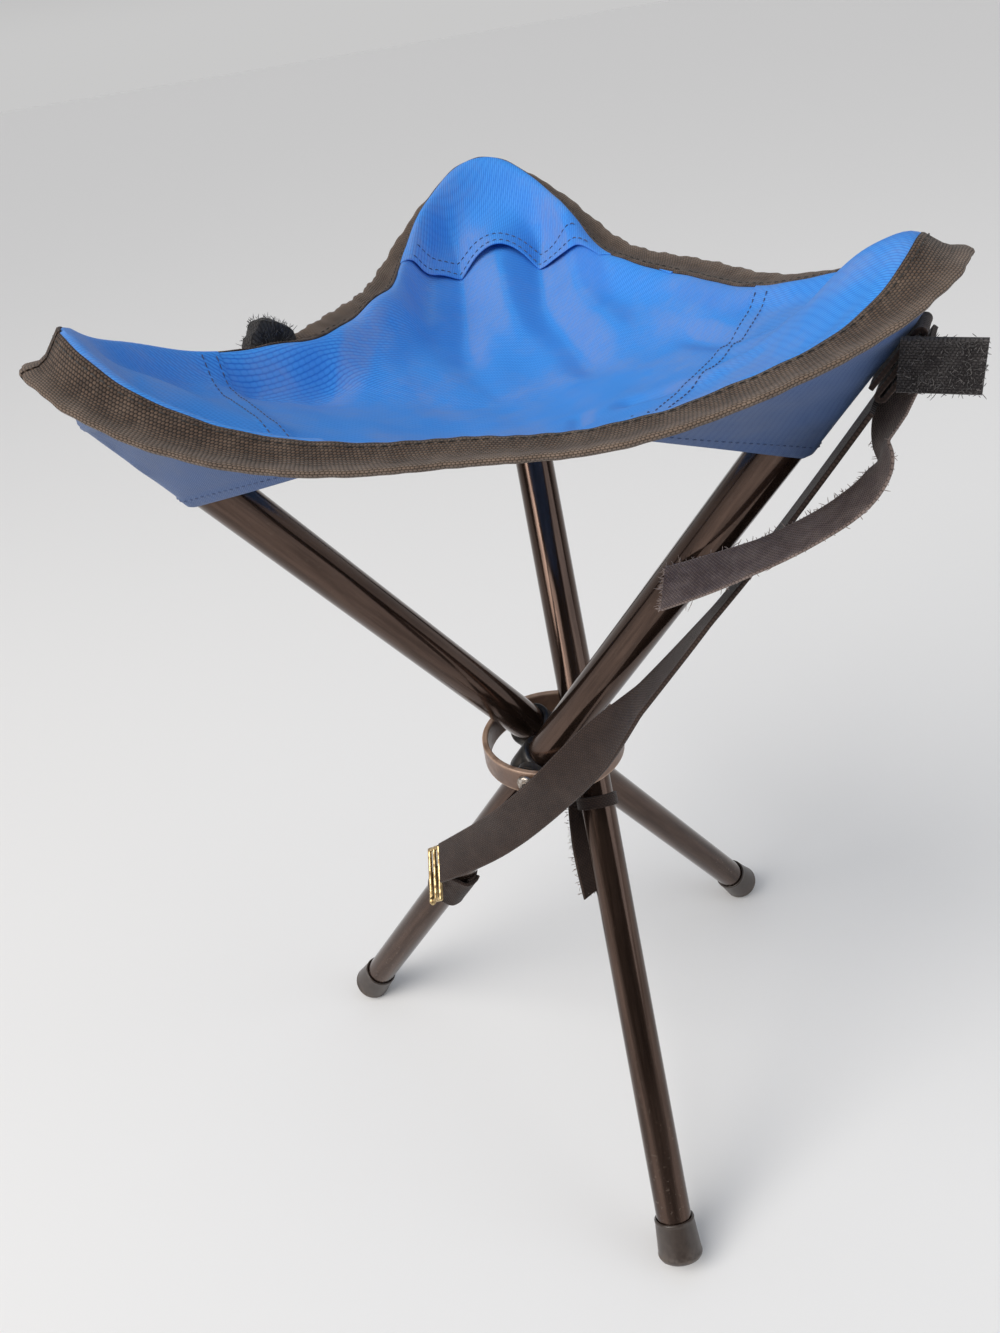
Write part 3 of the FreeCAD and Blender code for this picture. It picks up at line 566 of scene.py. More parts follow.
def thread_lay(x, y):
    """Plan position turned so that the ribs run at a slant across the seat."""
    return np.stack([x * math.cos(LAY_TURN) + y * math.sin(LAY_TURN),
                     y * math.cos(LAY_TURN) - x * math.sin(LAY_TURN)], -1) * MM


def lifted(x, y, rise):
    """Plan points in millimetres set at a rise over the seat's underside, in metres."""
    return np.stack([x, y, seat_level(x, y) + rise], -1) * MM


u, v = np.meshgrid(np.linspace(0, 1, PANEL_STEPS), np.linspace(0, 1, PANEL_STEPS), indexing="ij")
out_share = np.maximum(u, v)
side_share = (v - u) / np.maximum(out_share, 1e-9)
for index, corner in enumerate(CORNERS):
    turn = CORNER_TURN + THIRD * index + side_share * THIRD / 2
    reach = inset_reach(turn, 6.0) * out_share
    x, y = reach * np.cos(turn), reach * np.sin(turn)
    # The tint from fold_light paints sheen and shade on the folds.
    panel = shell("seat_" + corner, lifted(x, y, PANEL_TOP), lifted(x, y, PANEL_UNDER),
                  thread_lay(x, y), seat_cloth, fold_light(x, y))
    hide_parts("seat_panel")
    follow_corner(panel)

# ------------------------------------------------------------------ corner patches
# A second layer of the blue cloth lies over each corner, where the leg end would wear the
# seat through. Its inner side is a turned hem with two rows of stitching, and the rear hem
# stands off the seat in pleats.
HEM_PLACE = (92.0, 99.5, 86.0)
HEM_TONGUE = 14.0
HEM_TONGUE_AT = -2.0
HEM_TONGUE_SPREAD = 20.0
HEM_ARCH = 2.4
HEM_WIDE = 8.0
PATCH_LOW = 1.25
PATCH_EDGE = 10.0
PATCH_THICK = 0.65
PLEAT_FEET = (-46.0, -31.8, -12.1, 9.0, 34.0)
PLEAT_RISE = 2.4
STITCH_BLUE = (0.016, 0.040, 0.125, 1)
STITCH_BLUE_WORN = (0.06, 0.10, 0.22, 1)


def thread_finish(name, dark, worn):
    """Sewing thread: two tones in short runs, with the twist of its plies as bump."""
    material, tree, shader = finish(name, roughness=0.7, sheen_weight=0.2)
    place = node(tree, "TexCoord").outputs["Object"]
    tree.links.new(mixed(tree, patch_mask(tree, place, 1.6 * MM, 0.5, 0.2), dark, worn),
                   shader.inputs["Base Color"])
    ply = node(tree, "TexNoise", {"Vector": place, "Scale": 2600.0, "Detail": 1.0})
    tree.links.new(node(tree, "Bump", {"Height": ply.outputs[0], "Strength": 0.5,
                                       "Distance": 0.1 * MM}).outputs[0], shader.inputs["Normal"])
    return material


def threads(name, lines, radius, material):
    """Many short round threads: each line of points carries rings of five points, whose radius
    eases to two fifths at both ends, and both ends are closed."""
    lines = np.asarray(lines, float)
    count, steps = lines.shape[:2]
    ahead = np.gradient(lines, axis=1)
    ahead = ahead / np.linalg.norm(ahead, axis=-1, keepdims=True)
    side = np.cross(ahead, (0.31, 0.17, 0.935))
    side = side / np.linalg.norm(side, axis=-1, keepdims=True)
    other = np.cross(ahead, side)
    angle = np.arange(5)[:, None] * 2 * np.pi / 5
    size = radius * (0.4 + 0.6 * np.sqrt(1 - np.linspace(-1, 1, steps) ** 4))
    ring = side[:, :, None] * np.cos(angle) + other[:, :, None] * np.sin(angle)
    points = lines[:, :, None] + ring * size[:, None, None]
    first = np.arange(count)[:, None, None] * steps * 5
    tubes = (first + grid_quads(steps, 5, True)).reshape(-1, 4)
    ends = [first[:, 0] + np.arange(5)[::-1], first[:, 0] + (steps - 1) * 5 + np.arange(5)]
    return make_piece(name, points, [tubes] + ends, material)


def stitch_row(line, long, gap, lift, away=(0, 0, 1)):
    """Stitches along a line of points: each bows off the cloth in its middle by the lift and
    dips into it at both ends. The gap parts one stitch from the next."""
    line = np.asarray(line, float)
    far = np.append(0, np.cumsum(np.linalg.norm(np.diff(line, axis=0), axis=1)))
    at = np.arange(gap, far[-1] - long, long + gap)[:, None] + np.linspace(0, long, 5)
    lines = np.stack([np.interp(at, far, line[:, k]) for k in range(3)], -1)
    away = np.asarray(away, float) * np.ones_like(line)
    away = np.stack([np.interp(at, far, away[:, k]) for k in range(3)], -1)
    return lines + lift * away * np.array([-1.0, 0.6, 1.0, 0.6, -1.0])[:, None]


def pleats(index, angle):
    """Arches of the rear hem: half sine waves between its feet, which are given in degrees
    from the corner. The other hems lie flat."""
    phase = np.interp(np.degrees(angle), PLEAT_FEET, np.arange(5.0))
    return np.abs(np.sin(np.pi * phase)) ** 0.8 * (index == 0)


def hem_reach(index, angle):
    """Reach of a patch's hem: a straight line across the corner. The rear one is a circle about
    the middle of the seat, drawn back as a bell near the corner and a little at each arch."""
    if index == 0:
        bell = np.exp(-((np.degrees(angle) - HEM_TONGUE_AT) / HEM_TONGUE_SPREAD) ** 2)
        return HEM_PLACE[0] + HEM_TONGUE * bell + HEM_ARCH * pleats(0, angle)
    return HEM_PLACE[index] / np.cos(angle)


def clear_of_tape(index, angle, reach):
    """1 over the open seat, eased to 0 over the last 10 mm before the binding."""
    room = inset_reach(CORNER_TURN + THIRD * index + angle, 17.0) - reach
    share = np.clip(room / 10.0, 0, 1)
    return share * share * (3 - 2 * share)


def patch_rise(index, angle, inside):
    """Rise of a patch off the seat at a distance inside its hem: its arches die out as a bell,
    and before the binding."""
    arch = pleats(index, angle) * clear_of_tape(index, angle, hem_reach(index, angle) + inside)
    return PLEAT_RISE * arch * np.exp(-(inside / 15.0) ** 2) + 0.9 * arch * np.exp(-(inside / 45.0) ** 2)


hem_thread = thread_finish("hem_thread", STITCH_BLUE, STITCH_BLUE_WORN)
for index, corner in enumerate(CORNERS):
    middle = CORNER_TURN + THIRD * index
    ends = []
    for side in (-1, 1):
        trial = side * np.linspace(0.1, 1.0, 500)
        room = inset_reach(middle + trial, PATCH_EDGE) - hem_reach(index, trial)
        ends.append(trial[min(np.argmax(np.append(room < 1.5, True)), 499)])
    angle = np.linspace(ends[0], ends[1], 170)[None, :]
    inside = (inset_reach(middle + angle, PATCH_EDGE) - hem_reach(index, angle)) \
        * np.linspace(0, 1, 64)[:, None] ** 1.8
    reach = hem_reach(index, angle) + inside
    x, y = reach * np.cos(middle + angle), reach * np.sin(middle + angle)
    rise = patch_rise(index, angle, inside)
    double = np.clip((HEM_WIDE + 1.5 - inside) / 1.5, 0, 1)
    double = double * double * (3 - 2 * double) * clear_of_tape(index, angle, reach)
    half = (PATCH_THICK + 0.55 * double) / 2
    nose = np.sqrt(np.clip(1 - (1 - np.clip(inside / 0.7, 0, 1)) ** 2, 0.01, 1))
    # The tint paints sheen where the folds and pleats face the light, and shade where they face away.
    lean = np.clip(fold_light(x, y) + np.tanh(np.gradient(rise, axis=1)
                                              / np.gradient(x, axis=1) / 0.35), -1, 1)
    lay = np.stack([reach * np.cos(angle + 0.14), reach * np.sin(angle + 0.14)], -1) * MM
    patch = shell("patch_" + corner, lifted(x, y, PATCH_LOW + rise + half + half * nose),
                  lifted(x, y, PATCH_LOW + rise + half - half * nose), lay, seat_cloth, lean)
    rows = []
    for inside_row in (2.0, HEM_WIDE):
        row_turn = np.linspace(ends[0], ends[1], 500)
        row_turn = row_turn[clear_of_tape(index, row_turn, hem_reach(index, row_turn) + inside_row) > 0.2]
        row_reach = hem_reach(index, row_turn) + inside_row
        row_rise = patch_rise(index, row_turn, inside_row) + PATCH_LOW + PATCH_THICK + 0.55
        rows.append(stitch_row(lifted(row_reach * np.cos(middle + row_turn),
                                      row_reach * np.sin(middle + row_turn), row_rise),
                               2.4 * MM, 0.9 * MM, 0.22 * MM))
    sewn = threads("hem_stitches_" + corner, np.concatenate(rows), 0.26 * MM, hem_thread)
    for piece in (patch, sewn):
        follow_corner(piece)

# ------------------------------------------------------------------ edge bindings
# Brown-black grosgrain tape is folded over the raw edge of the seat and stitched through near
# its inner side. The outer fold is rubbed and dusty, and the tape's ends lap at the left corner.
TAPE_LOOP = np.array([
    (16.0, 1.40), (15.7, 2.05), (14.8, 2.40), (12.0, 2.30), (9.0, 2.32), (6.0, 2.40), (3.2, 2.45),
    (1.5, 2.25), (0.45, 1.70), (0.0, 0.85), (0.4, 0.0), (1.4, -0.55), (3.2, -0.75), (6.0, -0.80),
    (9.0, -0.80), (12.0, -0.80), (14.8, -0.75), (15.8, -0.30), (16.0, 0.40)])
TAPE_SEAM = 13.4
TAPE_BROWN = (0.108, 0.066, 0.043, 1)
TAPE_DARK = (0.008, 0.005, 0.004, 1)
TAPE_DUST = (0.235, 0.172, 0.130, 1)
TAPE_STITCH = (0.008, 0.007, 0.007, 1)
TAPE_STITCH_WORN = (0.035, 0.028, 0.024, 1)
HALF_SIDES = (("back_left", 0, 1), ("back_left", 1, -1), ("front", 1, 1), ("front", 2, -1),
              ("back_right", 2, 1), ("back_right", 0, -1))


def webbing(name, light, deep, dust, along, across, shift, depth):
    """Woven tape: rounded floats with dark gaps, dust where the tint says and in patches."""
    material, tree, shader = finish(name, roughness=0.75, sheen_weight=0.15, sheen_roughness=0.5,
                                    specular_ior_level=0.25)
    place = node(tree, "TexCoord").outputs["Object"]
    lay = node(tree, "UVMap", uv_map="thread_lay").outputs[0]
    rubbed = node(tree, "Attribute", attribute_name="tint").outputs["Fac"]
    bead, tone = weave(tree, lay, along, across, shift)
    base = mixed(tree, spread(tree, bead, 0.15, 0.85), deep, light)
    base = mixed(tree, spread(tree, tone, 0, 1, 0, 0.45), base, deep)
    dusty = maths(tree, "MULTIPLY_ADD", patch_mask(tree, place, 9 * MM, 0.55, 0.2), 0.35,
                  maths(tree, "MULTIPLY", rubbed, 0.55))
    dusty = maths(tree, "MULTIPLY", dusty, spread(tree, bead, 0.1, 0.8, 0.2, 1.0))
    tree.links.new(mixed(tree, dusty, base, dust), shader.inputs["Base Color"])
    tree.links.new(spread(tree, bead, 0, 1, 0.9, 0.62), shader.inputs["Roughness"])
    tree.links.new(node(tree, "Bump", {"Height": bead, "Strength": 0.8,
                                       "Distance": depth}).outputs[0], shader.inputs["Normal"])
    return material


def tube_faces(rows, columns):
    """Faces of a closed section carried along a line, with both ends closed."""
    section = np.arange(columns)[None]
    return [grid_quads(rows, columns, True), section[:, ::-1], section + (rows - 1) * columns]


def tape_round_edge(name, turn, swell, material):
    """Tape on the seat's edge: the loop of insets and rises carried round the edge, with small
    waves in its outer fold. The swell thickens the loop for a second layer."""
    inset = 8 + (TAPE_LOOP[:, 0] - 8) * (1 + swell / 8)
    rise = 0.8 + (TAPE_LOOP[:, 1] - 0.8) * (1 + swell / 1.6)
    turn = turn[:, None]
    fold = np.exp(-(inset / 4.0) ** 2)
    inset = inset + fold * (0.35 * np.sin(turn * 47) + 0.2 * np.sin(turn * 113 + 1))
    rise = rise + 0.14 * np.sin(turn * 71 + 0.5) * np.sin(inset / 3.0)
    reach = inset_reach(turn, inset)
    points = lifted(reach * np.cos(turn), reach * np.sin(turn), rise)
    far = np.append(0, np.cumsum(np.linalg.norm(np.diff(points[:, 5], axis=0), axis=1)))
    round_loop = np.append(0, np.cumsum(np.linalg.norm(np.diff(TAPE_LOOP, axis=0), axis=1)))
    lay = np.stack(np.broadcast_arrays(far[:, None], round_loop * MM), -1)
    return make_piece(name, points, tube_faces(*points.shape[:2]), material, lay,
                      tint=np.broadcast_to(fold, points.shape[:2]))


edge_tape = webbing("edge_tape", TAPE_BROWN, TAPE_DARK, TAPE_DUST, 1.35 * MM, 0.95 * MM, 0.5, 0.35 * MM)
tape_thread = thread_finish("tape_thread", TAPE_STITCH, TAPE_STITCH_WORN)
for side, index, way in HALF_SIDES:
    turn = CORNER_TURN + THIRD * index + way * np.linspace(0, THIRD / 2, 190)
    name = side + "_" + CORNERS[index]
    tape = tape_round_edge("binding_" + name, turn, 0.0, edge_tape)
    seam_reach = inset_reach(turn, TAPE_SEAM)
    seam = lifted(seam_reach * np.cos(turn), seam_reach * np.sin(turn), 2.42)
    sewn = threads("binding_stitches_" + name, stitch_row(seam, 2.6 * MM, 1.1 * MM, 0.22 * MM),
                   0.28 * MM, tape_thread)
    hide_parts("binding_" + side)
    for piece in (tape, sewn):
        follow_corner(piece)

lap_turn = CORNER_TURN + THIRD - np.linspace(0.0, 0.13, 24)
lap = tape_round_edge("binding_lap", lap_turn, 0.55, edge_tape)
follow_corner(lap)

# ------------------------------------------------------------------ corner pockets
# A sling of the same cloth is sewn under each corner, and the leg's end sits in it. Its mouth
# has a turned hem with one row of stitching.
POCKET_MOUTH = (210.0, 221.0, 206.0)
POCKET_END = 277.0
POCKET_TURN_UP = 269.0
POCKET_INSIDE = 10.0
POCKET_UNDER_SEAT = 2.5
POCKET_EDGE = 12.8
POCKET_HEM = 5.0
POCKET_BLUE = (0.082, 0.138, 0.290, 1)
POCKET_DEEP = (0.055, 0.095, 0.225, 1)
# The grey of faded patches, and of the painted sheen on wrinkles that face the light.
POCKET_GREY_AND_SHEEN = (0.128, 0.158, 0.240, 1)


def flank_top(leg, side, along):
    """Where a pocket's flank meets the seat: the furthest point out from the tube, in its leg's
    frame, that lies under the seat and inside its binding. One for each place along the tube.
    Past the tube's end it may come nearer to the edge."""
    out = np.arange(12.0, 80.0, 0.25)[None, :] * np.ones((len(along), 1))
    up = np.zeros_like(out)
    for step in range(60):
        at = on_leg(leg, np.stack([side * out, -up, along[:, None] + 0 * out], -1) * MM) / MM
        up = up + (seat_level(at[..., 0], at[..., 1]) - POCKET_UNDER_SEAT - at[..., 2]) * math.sin(LEG_TILT)
    reach = np.hypot(at[..., 0], at[..., 1])
    edge = np.interp(along, (POCKET_TURN_UP - 3, POCKET_TURN_UP + 3), (POCKET_EDGE, 5.0))[:, None]
    inside = reach <= inset_reach(np.arctan2(at[..., 1], at[..., 0]), edge)
    past = np.append(~inside, np.ones((len(along), 1), bool), axis=1)
    last = np.maximum(np.argmax(past, axis=1) - 1, 0)
    row = np.arange(len(along))
    return side * out[row, last], -up[row, last]


def pocket_section(tops, radius, steps=12):
    """Across a pocket: a straight flank down to its tangent on a circle round the tube, the arc
    under the tube, and the other flank up again."""
    parts = []
    for side, (x, y) in zip((1, -1), tops):
        angle = np.arctan2(y, x) + side * np.arccos(np.clip(radius / np.hypot(x, y), -1, 1))
        touch = np.stack([np.cos(angle), np.sin(angle)], -1) * radius
        parts.append((np.stack([x, y], -1), touch, angle))
    (first_top, first_touch, first_angle), (last_top, last_touch, last_angle) = parts
    share = np.linspace(0, 1, steps)[None, :, None]
    arc = first_angle[:, None] + ((last_angle - first_angle) % (2 * np.pi))[:, None] * np.linspace(0, 1, 17)
    belly = np.stack([np.cos(arc), np.sin(arc)], -1) * radius
    down = first_top[:, None] + (first_touch - first_top)[:, None] * share
    rise = last_touch[:, None] + (last_top - last_touch)[:, None] * share
    return np.concatenate([down[:, :-1], belly, rise[:, 1:]], 1)


def thickened(name, middle, half, uv, material, tint=None):
    """A sheet given thickness along the normals of its middle grid."""
    normal = np.cross(np.gradient(middle, axis=0), np.gradient(middle, axis=1))
    normal = normal / np.linalg.norm(normal, axis=-1, keepdims=True)
    return shell(name, middle + normal * half, middle - normal * half, uv, material, tint), normal


pocket_cloth = blue_cloth("pocket_cloth", POCKET_BLUE, POCKET_DEEP, POCKET_GREY_AND_SHEEN)
for index, leg in enumerate(CORNERS):
    mouth = POCKET_MOUTH[index]
    along = np.linspace(mouth, POCKET_END, 46)
    section = pocket_section([flank_top(leg, side, along) for side in (1, -1)], POCKET_INSIDE + 0.6)
    columns = section.shape[1]
    across = np.linspace(-1, 1, columns)[None, :]
    closing = np.clip((along - POCKET_TURN_UP) / (POCKET_END - POCKET_TURN_UP), 0, 1)[:, None, None]
    flat = section[:, :1] + (section[:, -1:] - section[:, :1]) * np.linspace(0, 1, columns)[:, None]
    section = section + (flat - section) * closing ** 2 * (3 - 2 * closing)
    depth = (along - mouth)[:, None]
    slack = (1 - across ** 2) * across ** 2 * 4
    wrinkle = slack * (0.9 * np.sin(along[:, None] / 5.5 + 5 * across)
                       + 0.6 * np.sin(along[:, None] / 2.9 - 9 * across + index))
    flare = slack * 1.6 * np.exp(-(depth / 9.0) ** 2)
    away = section / np.linalg.norm(section, axis=-1, keepdims=True)
    section = section + away * (wrinkle + flare)[..., None]
    middle = on_leg(leg, np.concatenate([section, along[:, None, None] + 0 * section[..., :1]], -1) * MM)
    hem = np.clip((POCKET_HEM + 1 - depth) / 1.0, 0, 1)
    half = (0.5 + 0.4 * hem) * np.sqrt(np.clip(depth / 0.8, 0.05, 1)) + 0 * across
    step_across = np.linalg.norm(np.diff(middle, axis=1, prepend=middle[:, :1]), axis=-1).cumsum(1)
    lay = np.stack([depth * MM + 0 * across, step_across], -1)
    # Its tint, the slope of the wrinkles, paints sheen and shade on them.
    pocket, normal = thickened("pocket_" + leg, middle, half[..., None] * MM, lay, pocket_cloth,
                               np.tanh(np.gradient(wrinkle, axis=0)))
    row = int(np.argmin(np.abs(along - mouth - POCKET_HEM)))
    from_axis = middle[row] - on_leg(leg, (0, 0, along[row] * MM))
    outward = normal[row] * np.sign((normal[row] * from_axis).sum(-1).mean())
    sewn = threads("pocket_stitches_" + leg,
                   stitch_row(middle[row] + outward * 0.8 * MM, 2.4 * MM, 0.9 * MM, 0.2 * MM, outward),
                   0.24 * MM, hem_thread)
    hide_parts(leg + "_pocket")
    for piece in (pocket, sewn):
        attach(piece, leg + "_leg")

# ------------------------------------------------------------------ edge tab
# A short black loop of worn webbing is sewn to the back left edge to hang the stool by. Its
# sides have closed on each other, and its pile stands up as fuzz.
TAB_TURN = math.radians(167.5)
TAB_INSET = 8.0
TAB_RADIUS = 11.6
TAB_HOLLOW = 2.6
TAB_HALF = 4.6
TAB_STRETCH = 1.3
TAB_BLACK = (0.009, 0.008, 0.008, 1)
TAB_GREY = (0.030, 0.027, 0.026, 1)
FUZZ_BLACK = (0.012, 0.011, 0.011, 1)
FUZZ_GREY = (0.07, 0.065, 0.062, 1)


def fibres(name, roots, ways, long, radius, material, seed):
    """Loose fibres: each runs its own way from its root and curls as the square of the distance."""
    chance = np.random.default_rng(seed)
    share = np.linspace(0, 1, 5)[:, None]
    length = long * chance.uniform(0.45, 1.0, (len(roots), 1, 1))
    curl = chance.normal(0, 0.42, (len(roots), 1, 3))
    lines = roots[:, None] + length * (ways[:, None] * share + curl * share ** 2)
    return threads(name, lines, radius, material)


black_web = webbing("black_web", TAB_GREY, TAB_BLACK, FUZZ_GREY, 1.8 * MM, 1.2 * MM, 0.5, 0.3 * MM)
fuzz = thread_finish("black_fuzz", FUZZ_BLACK, FUZZ_GREY)
tab_slope = (seat_edge(TAB_TURN + 0.01)[0] - seat_edge(TAB_TURN - 0.01)[0]) / 0.02
tab_faces = TAB_TURN - math.atan2(tab_slope, seat_edge(TAB_TURN)[0])
out_way = np.array([math.cos(tab_faces), math.sin(tab_faces), 0])
edge_way = np.array([-math.sin(tab_faces), math.cos(tab_faces), 0])
tab_reach = inset_reach(TAB_TURN, TAB_INSET)
tab_foot = lifted(tab_reach * math.cos(TAB_TURN), tab_reach * math.sin(TAB_TURN), 1.3)
arch = np.linspace(0, np.pi, 44)[:, None]
loop = np.linspace(0, 2 * np.pi, 26, endpoint=False)[None, :]
square = np.maximum(np.abs(np.cos(loop)), np.abs(np.sin(loop))) ** 0.75
radius = (TAB_RADIUS + TAB_HOLLOW) / 2 + (TAB_RADIUS - TAB_HOLLOW) / 2 * np.cos(loop) / square
radius = radius + (0.45 * np.sin(5 * arch + 1) + 0.3 * np.sin(11 * arch + 2 * loop)) * (np.cos(loop) > 0)
wide = TAB_HALF * np.sin(loop) / square * (1 + 0.06 * np.sin(7 * arch))
tab_way = np.cos(arch)[..., None] * edge_way + np.sin(arch)[..., None] * (0, 0, TAB_STRETCH)
tab_points = tab_foot + (radius[..., None] * tab_way + wide[..., None] * out_way) * MM
tab_lay = np.stack([arch * TAB_RADIUS * MM + 0 * loop, wide * MM], -1)
tab = make_piece("loop_tab", tab_points, tube_faces(44, 26), black_web, tab_lay)
chance = np.random.default_rng(7)
pick_arch, pick_loop = chance.integers(2, 42, 420), chance.integers(0, 26, 420)
tab_roots = tab_points[pick_arch, pick_loop]
tab_ways = tab_roots - tab_foot + (0, 0, 0.002)
tab_ways = tab_ways / np.linalg.norm(tab_ways, axis=1, keepdims=True)
tab_fuzz = fibres("tab_fuzz", tab_roots, tab_ways, 2.1 * MM, 0.11 * MM, fuzz, 11)
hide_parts("edge_tab")
for piece in (tab, tab_fuzz):
    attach(piece, "hub")

# ------------------------------------------------------------------ carry strap
# Flat brown webbing runs from the right corner down past the ring to the lower right leg. Its
# top end is sewn in with the other webs, and its foot goes to the slide buckle.
STRAP_WIDE = 22.0
STRAP_THICK = 1.8
STRAP_ROUTE = ((2.0, 17.2, 234.9), (1.0, 19.8, 187.9), (4.5, 20.2, 145.1), (21.8, 16.7, 83.3),
               (24.6, 13.8, 45.2), (24.0, 10.5, 0.0), (19.6, 3.0, -51.2), (8.77, -10.46, -102.5))
STRAP_TWIST = (90, 90, 90, 75, 30, 0, 8, 50)
STRAP_BROWN = (0.036, 0.019, 0.013, 1)
STRAP_DEEP = (0.014, 0.0075, 0.006, 1)
STRAP_DUST = (0.080, 0.050, 0.038, 1)
# Half a web's section as shares of its half width and half thickness, from edge to edge.
WEB_FACE = np.array([(-1, 0), (-0.992, 0.6), (-0.965, 1.0), (-0.93, 1.12), (-0.88, 1.0), (-0.6, 0.97),
                     (-0.3, 1.0), (0, 1.0), (0.3, 1.0), (0.6, 0.97), (0.88, 1.0), (0.93, 1.12),
                     (0.965, 1.0), (0.992, 0.6), (1, 0)])


def route_line(points):
    """Points read from the smooth line of a route: a NURBS spline of order 3 whose control
    points are the route's own points."""
    drawing = bpy.data.curves.new("route", "CURVE")
    drawing.dimensions = "3D"
    drawing.resolution_u = 14
    spline = drawing.splines.new("NURBS")
    spline.points.add(len(points) - 1)
    spline.points.foreach_set("co", np.c_[points, np.ones(len(points))].ravel())
    spline.order_u = 3
    spline.use_endpoint_u = True
    carrier = bpy.data.objects.new("route", drawing)
    line = bpy.data.meshes.new_from_object(carrier)
    read = np.zeros(len(line.vertices) * 3)
    line.vertices.foreach_get("co", read)
    bpy.data.objects.remove(carrier)
    bpy.data.meshes.remove(line)
    bpy.data.curves.remove(drawing)
    return read.reshape(-1, 3)


def web_along(name, line, across, face, wide, thick, material, tint=0.0, slant=0.0):
    """A web: its section carried along a line, wide across it and thin along its face. The two
    edges are a little thicker, as a selvedge is. The slant sets one edge of its far end ahead
    of the other."""
    loop = np.concatenate([WEB_FACE[:-1], -WEB_FACE[:-1]])
    points = (line[:, None] + across[:, None] * loop[:, :1] * wide / 2
              + face[:, None] * loop[:, 1:] * thick / 2)
    far = np.append(0, np.cumsum(np.linalg.norm(np.diff(line, axis=0), axis=1)))
    points = points + (np.gradient(line, far, axis=0) * (far / far[-1])[:, None] ** 4)[:, None] \
        * loop[:, :1] * slant / 2
    lay = np.stack(np.broadcast_arrays(far[:, None], loop[:, 0] * wide / 2), -1)
    rubbed = np.clip((np.abs(loop[:, 0]) - 0.86) / 0.12, 0, 1) * 0.6 + tint
    return make_piece(name, points, tube_faces(*points.shape[:2]), material, lay,
                      tint=np.broadcast_to(rubbed, points.shape[:2]))


def web_frame(line, leg, twist):
    """Across and face of a web along a line: its face starts on the leg's out direction, and the
    twists, spaced evenly along the line, turn it about the line."""
    ahead = np.gradient(line, axis=0)
    ahead = ahead / np.linalg.norm(ahead, axis=1, keepdims=True)
    out = leg_axes(leg)[0]
    flat = out - ahead * (ahead @ out)[:, None]
    flat = flat / np.linalg.norm(flat, axis=1, keepdims=True)
    turn = np.interp(np.linspace(0, len(twist) - 1, len(line)), np.arange(len(twist)), twist)
    turn = np.radians(turn)[:, None]
    face = flat * np.cos(turn) + np.cross(ahead, flat) * np.sin(turn)
    return np.cross(ahead, face), face


brown_web = webbing("brown_web", STRAP_BROWN, STRAP_DEEP, STRAP_DUST, 1.7 * MM, 0.9 * MM, 0.5, 0.2 * MM)
web_thread = thread_finish("web_thread", (0.014, 0.009, 0.008, 1), (0.06, 0.045, 0.038, 1))
strap_line = route_line(on_leg("right", np.array(STRAP_ROUTE) * MM))
strap_across, strap_face = web_frame(strap_line, "right", STRAP_TWIST)
strap = web_along("strap", strap_line, strap_across, strap_face, STRAP_WIDE * MM, STRAP_THICK * MM,
                  brown_web)
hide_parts("carry_strap")
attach(strap, "right_leg")

# ------------------------------------------------------------------ strap anchor
# Under the right corner the straps are gathered: a web folded on itself in three layers and
# sewn through.
ANCHOR_WIDE = 18.0
ANCHOR_LAYERS = (12.35, 15.2, 18.05)
ANCHOR_LOW = 239.5
ANCHOR_HIGH = 262.5
layer = np.linspace(0, 1, 16)
bend = np.linspace(0, np.pi, 11)[1:-1]
gap = (ANCHOR_LAYERS[1] - ANCHOR_LAYERS[0]) / 2
run = ANCHOR_HIGH - ANCHOR_LOW
under = np.concatenate([0 * layer + ANCHOR_LAYERS[0], ANCHOR_LAYERS[0] + gap - gap * np.cos(bend),
                        0 * layer + ANCHOR_LAYERS[1], ANCHOR_LAYERS[1] + gap - gap * np.cos(bend),
                        0 * layer + ANCHOR_LAYERS[2]])
along = np.concatenate([ANCHOR_LOW + run * layer, ANCHOR_HIGH + gap * np.sin(bend),
                        ANCHOR_HIGH - run * layer, ANCHOR_LOW - gap * np.sin(bend),
                        ANCHOR_LOW + run * layer])
fold_line = on_leg("right", np.stack([0 * under, under, along], -1) * MM)
fold_ahead = np.gradient(fold_line, axis=0)
fold_ahead = fold_ahead / np.linalg.norm(fold_ahead, axis=1, keepdims=True)
fold_across = leg_axes("right")[0] * np.ones_like(fold_line)
bunch = web_along("anchor_fold", fold_line, fold_across, np.cross(fold_across, fold_ahead),
                  ANCHOR_WIDE * MM, 1.7 * MM, brown_web)
corners = np.array([(-6.5, 19.1, 242.0), (6.5, 19.1, 242.0), (6.5, 19.1, 260.0), (-6.5, 19.1, 260.0),
                    (-6.5, 19.1, 242.0), (6.5, 19.1, 260.0)])
seam = on_leg("right", np.stack([np.interp(np.linspace(0, 5, 300), np.arange(6), corners[:, k])
                                 for k in range(3)], -1) * MM)
bunch_sewn = threads("anchor_stitches", stitch_row(seam, 2.2 * MM, 0.9 * MM, 0.2 * MM,
                                                   leg_axes("right")[1]), 0.24 * MM, web_thread)
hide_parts("strap_anchor")
for piece in (bunch, bunch_sewn):
    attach(piece, "right_leg")

# ------------------------------------------------------------------ leg loop and slide buckle
# A turn of the same webbing goes round the lower right leg and laps on itself. On it lies a
# wire buckle of brass with a middle bar and a soldered bead, which the strap hooks into.
LOOP_INNER = 8.75
LOOP_MIDDLE = -118.0
LOOP_WIDE = 24.0
BRASS = (0.72, 0.55, 0.29, 1)
BRASS_DARK = (0.30, 0.205, 0.095, 1)
BUCKLE_TILT = np.array(Matrix.Rotation(math.radians(-22), 3, "X"))
BUCKLE_ROUND = np.array(Matrix.Rotation(math.radians(-50), 3, "Z"))
BUCKLE_AT = np.array([11.85, 0.0, -115.0])
BEAD_AT = np.array([0.25, 14.3, -4.6])


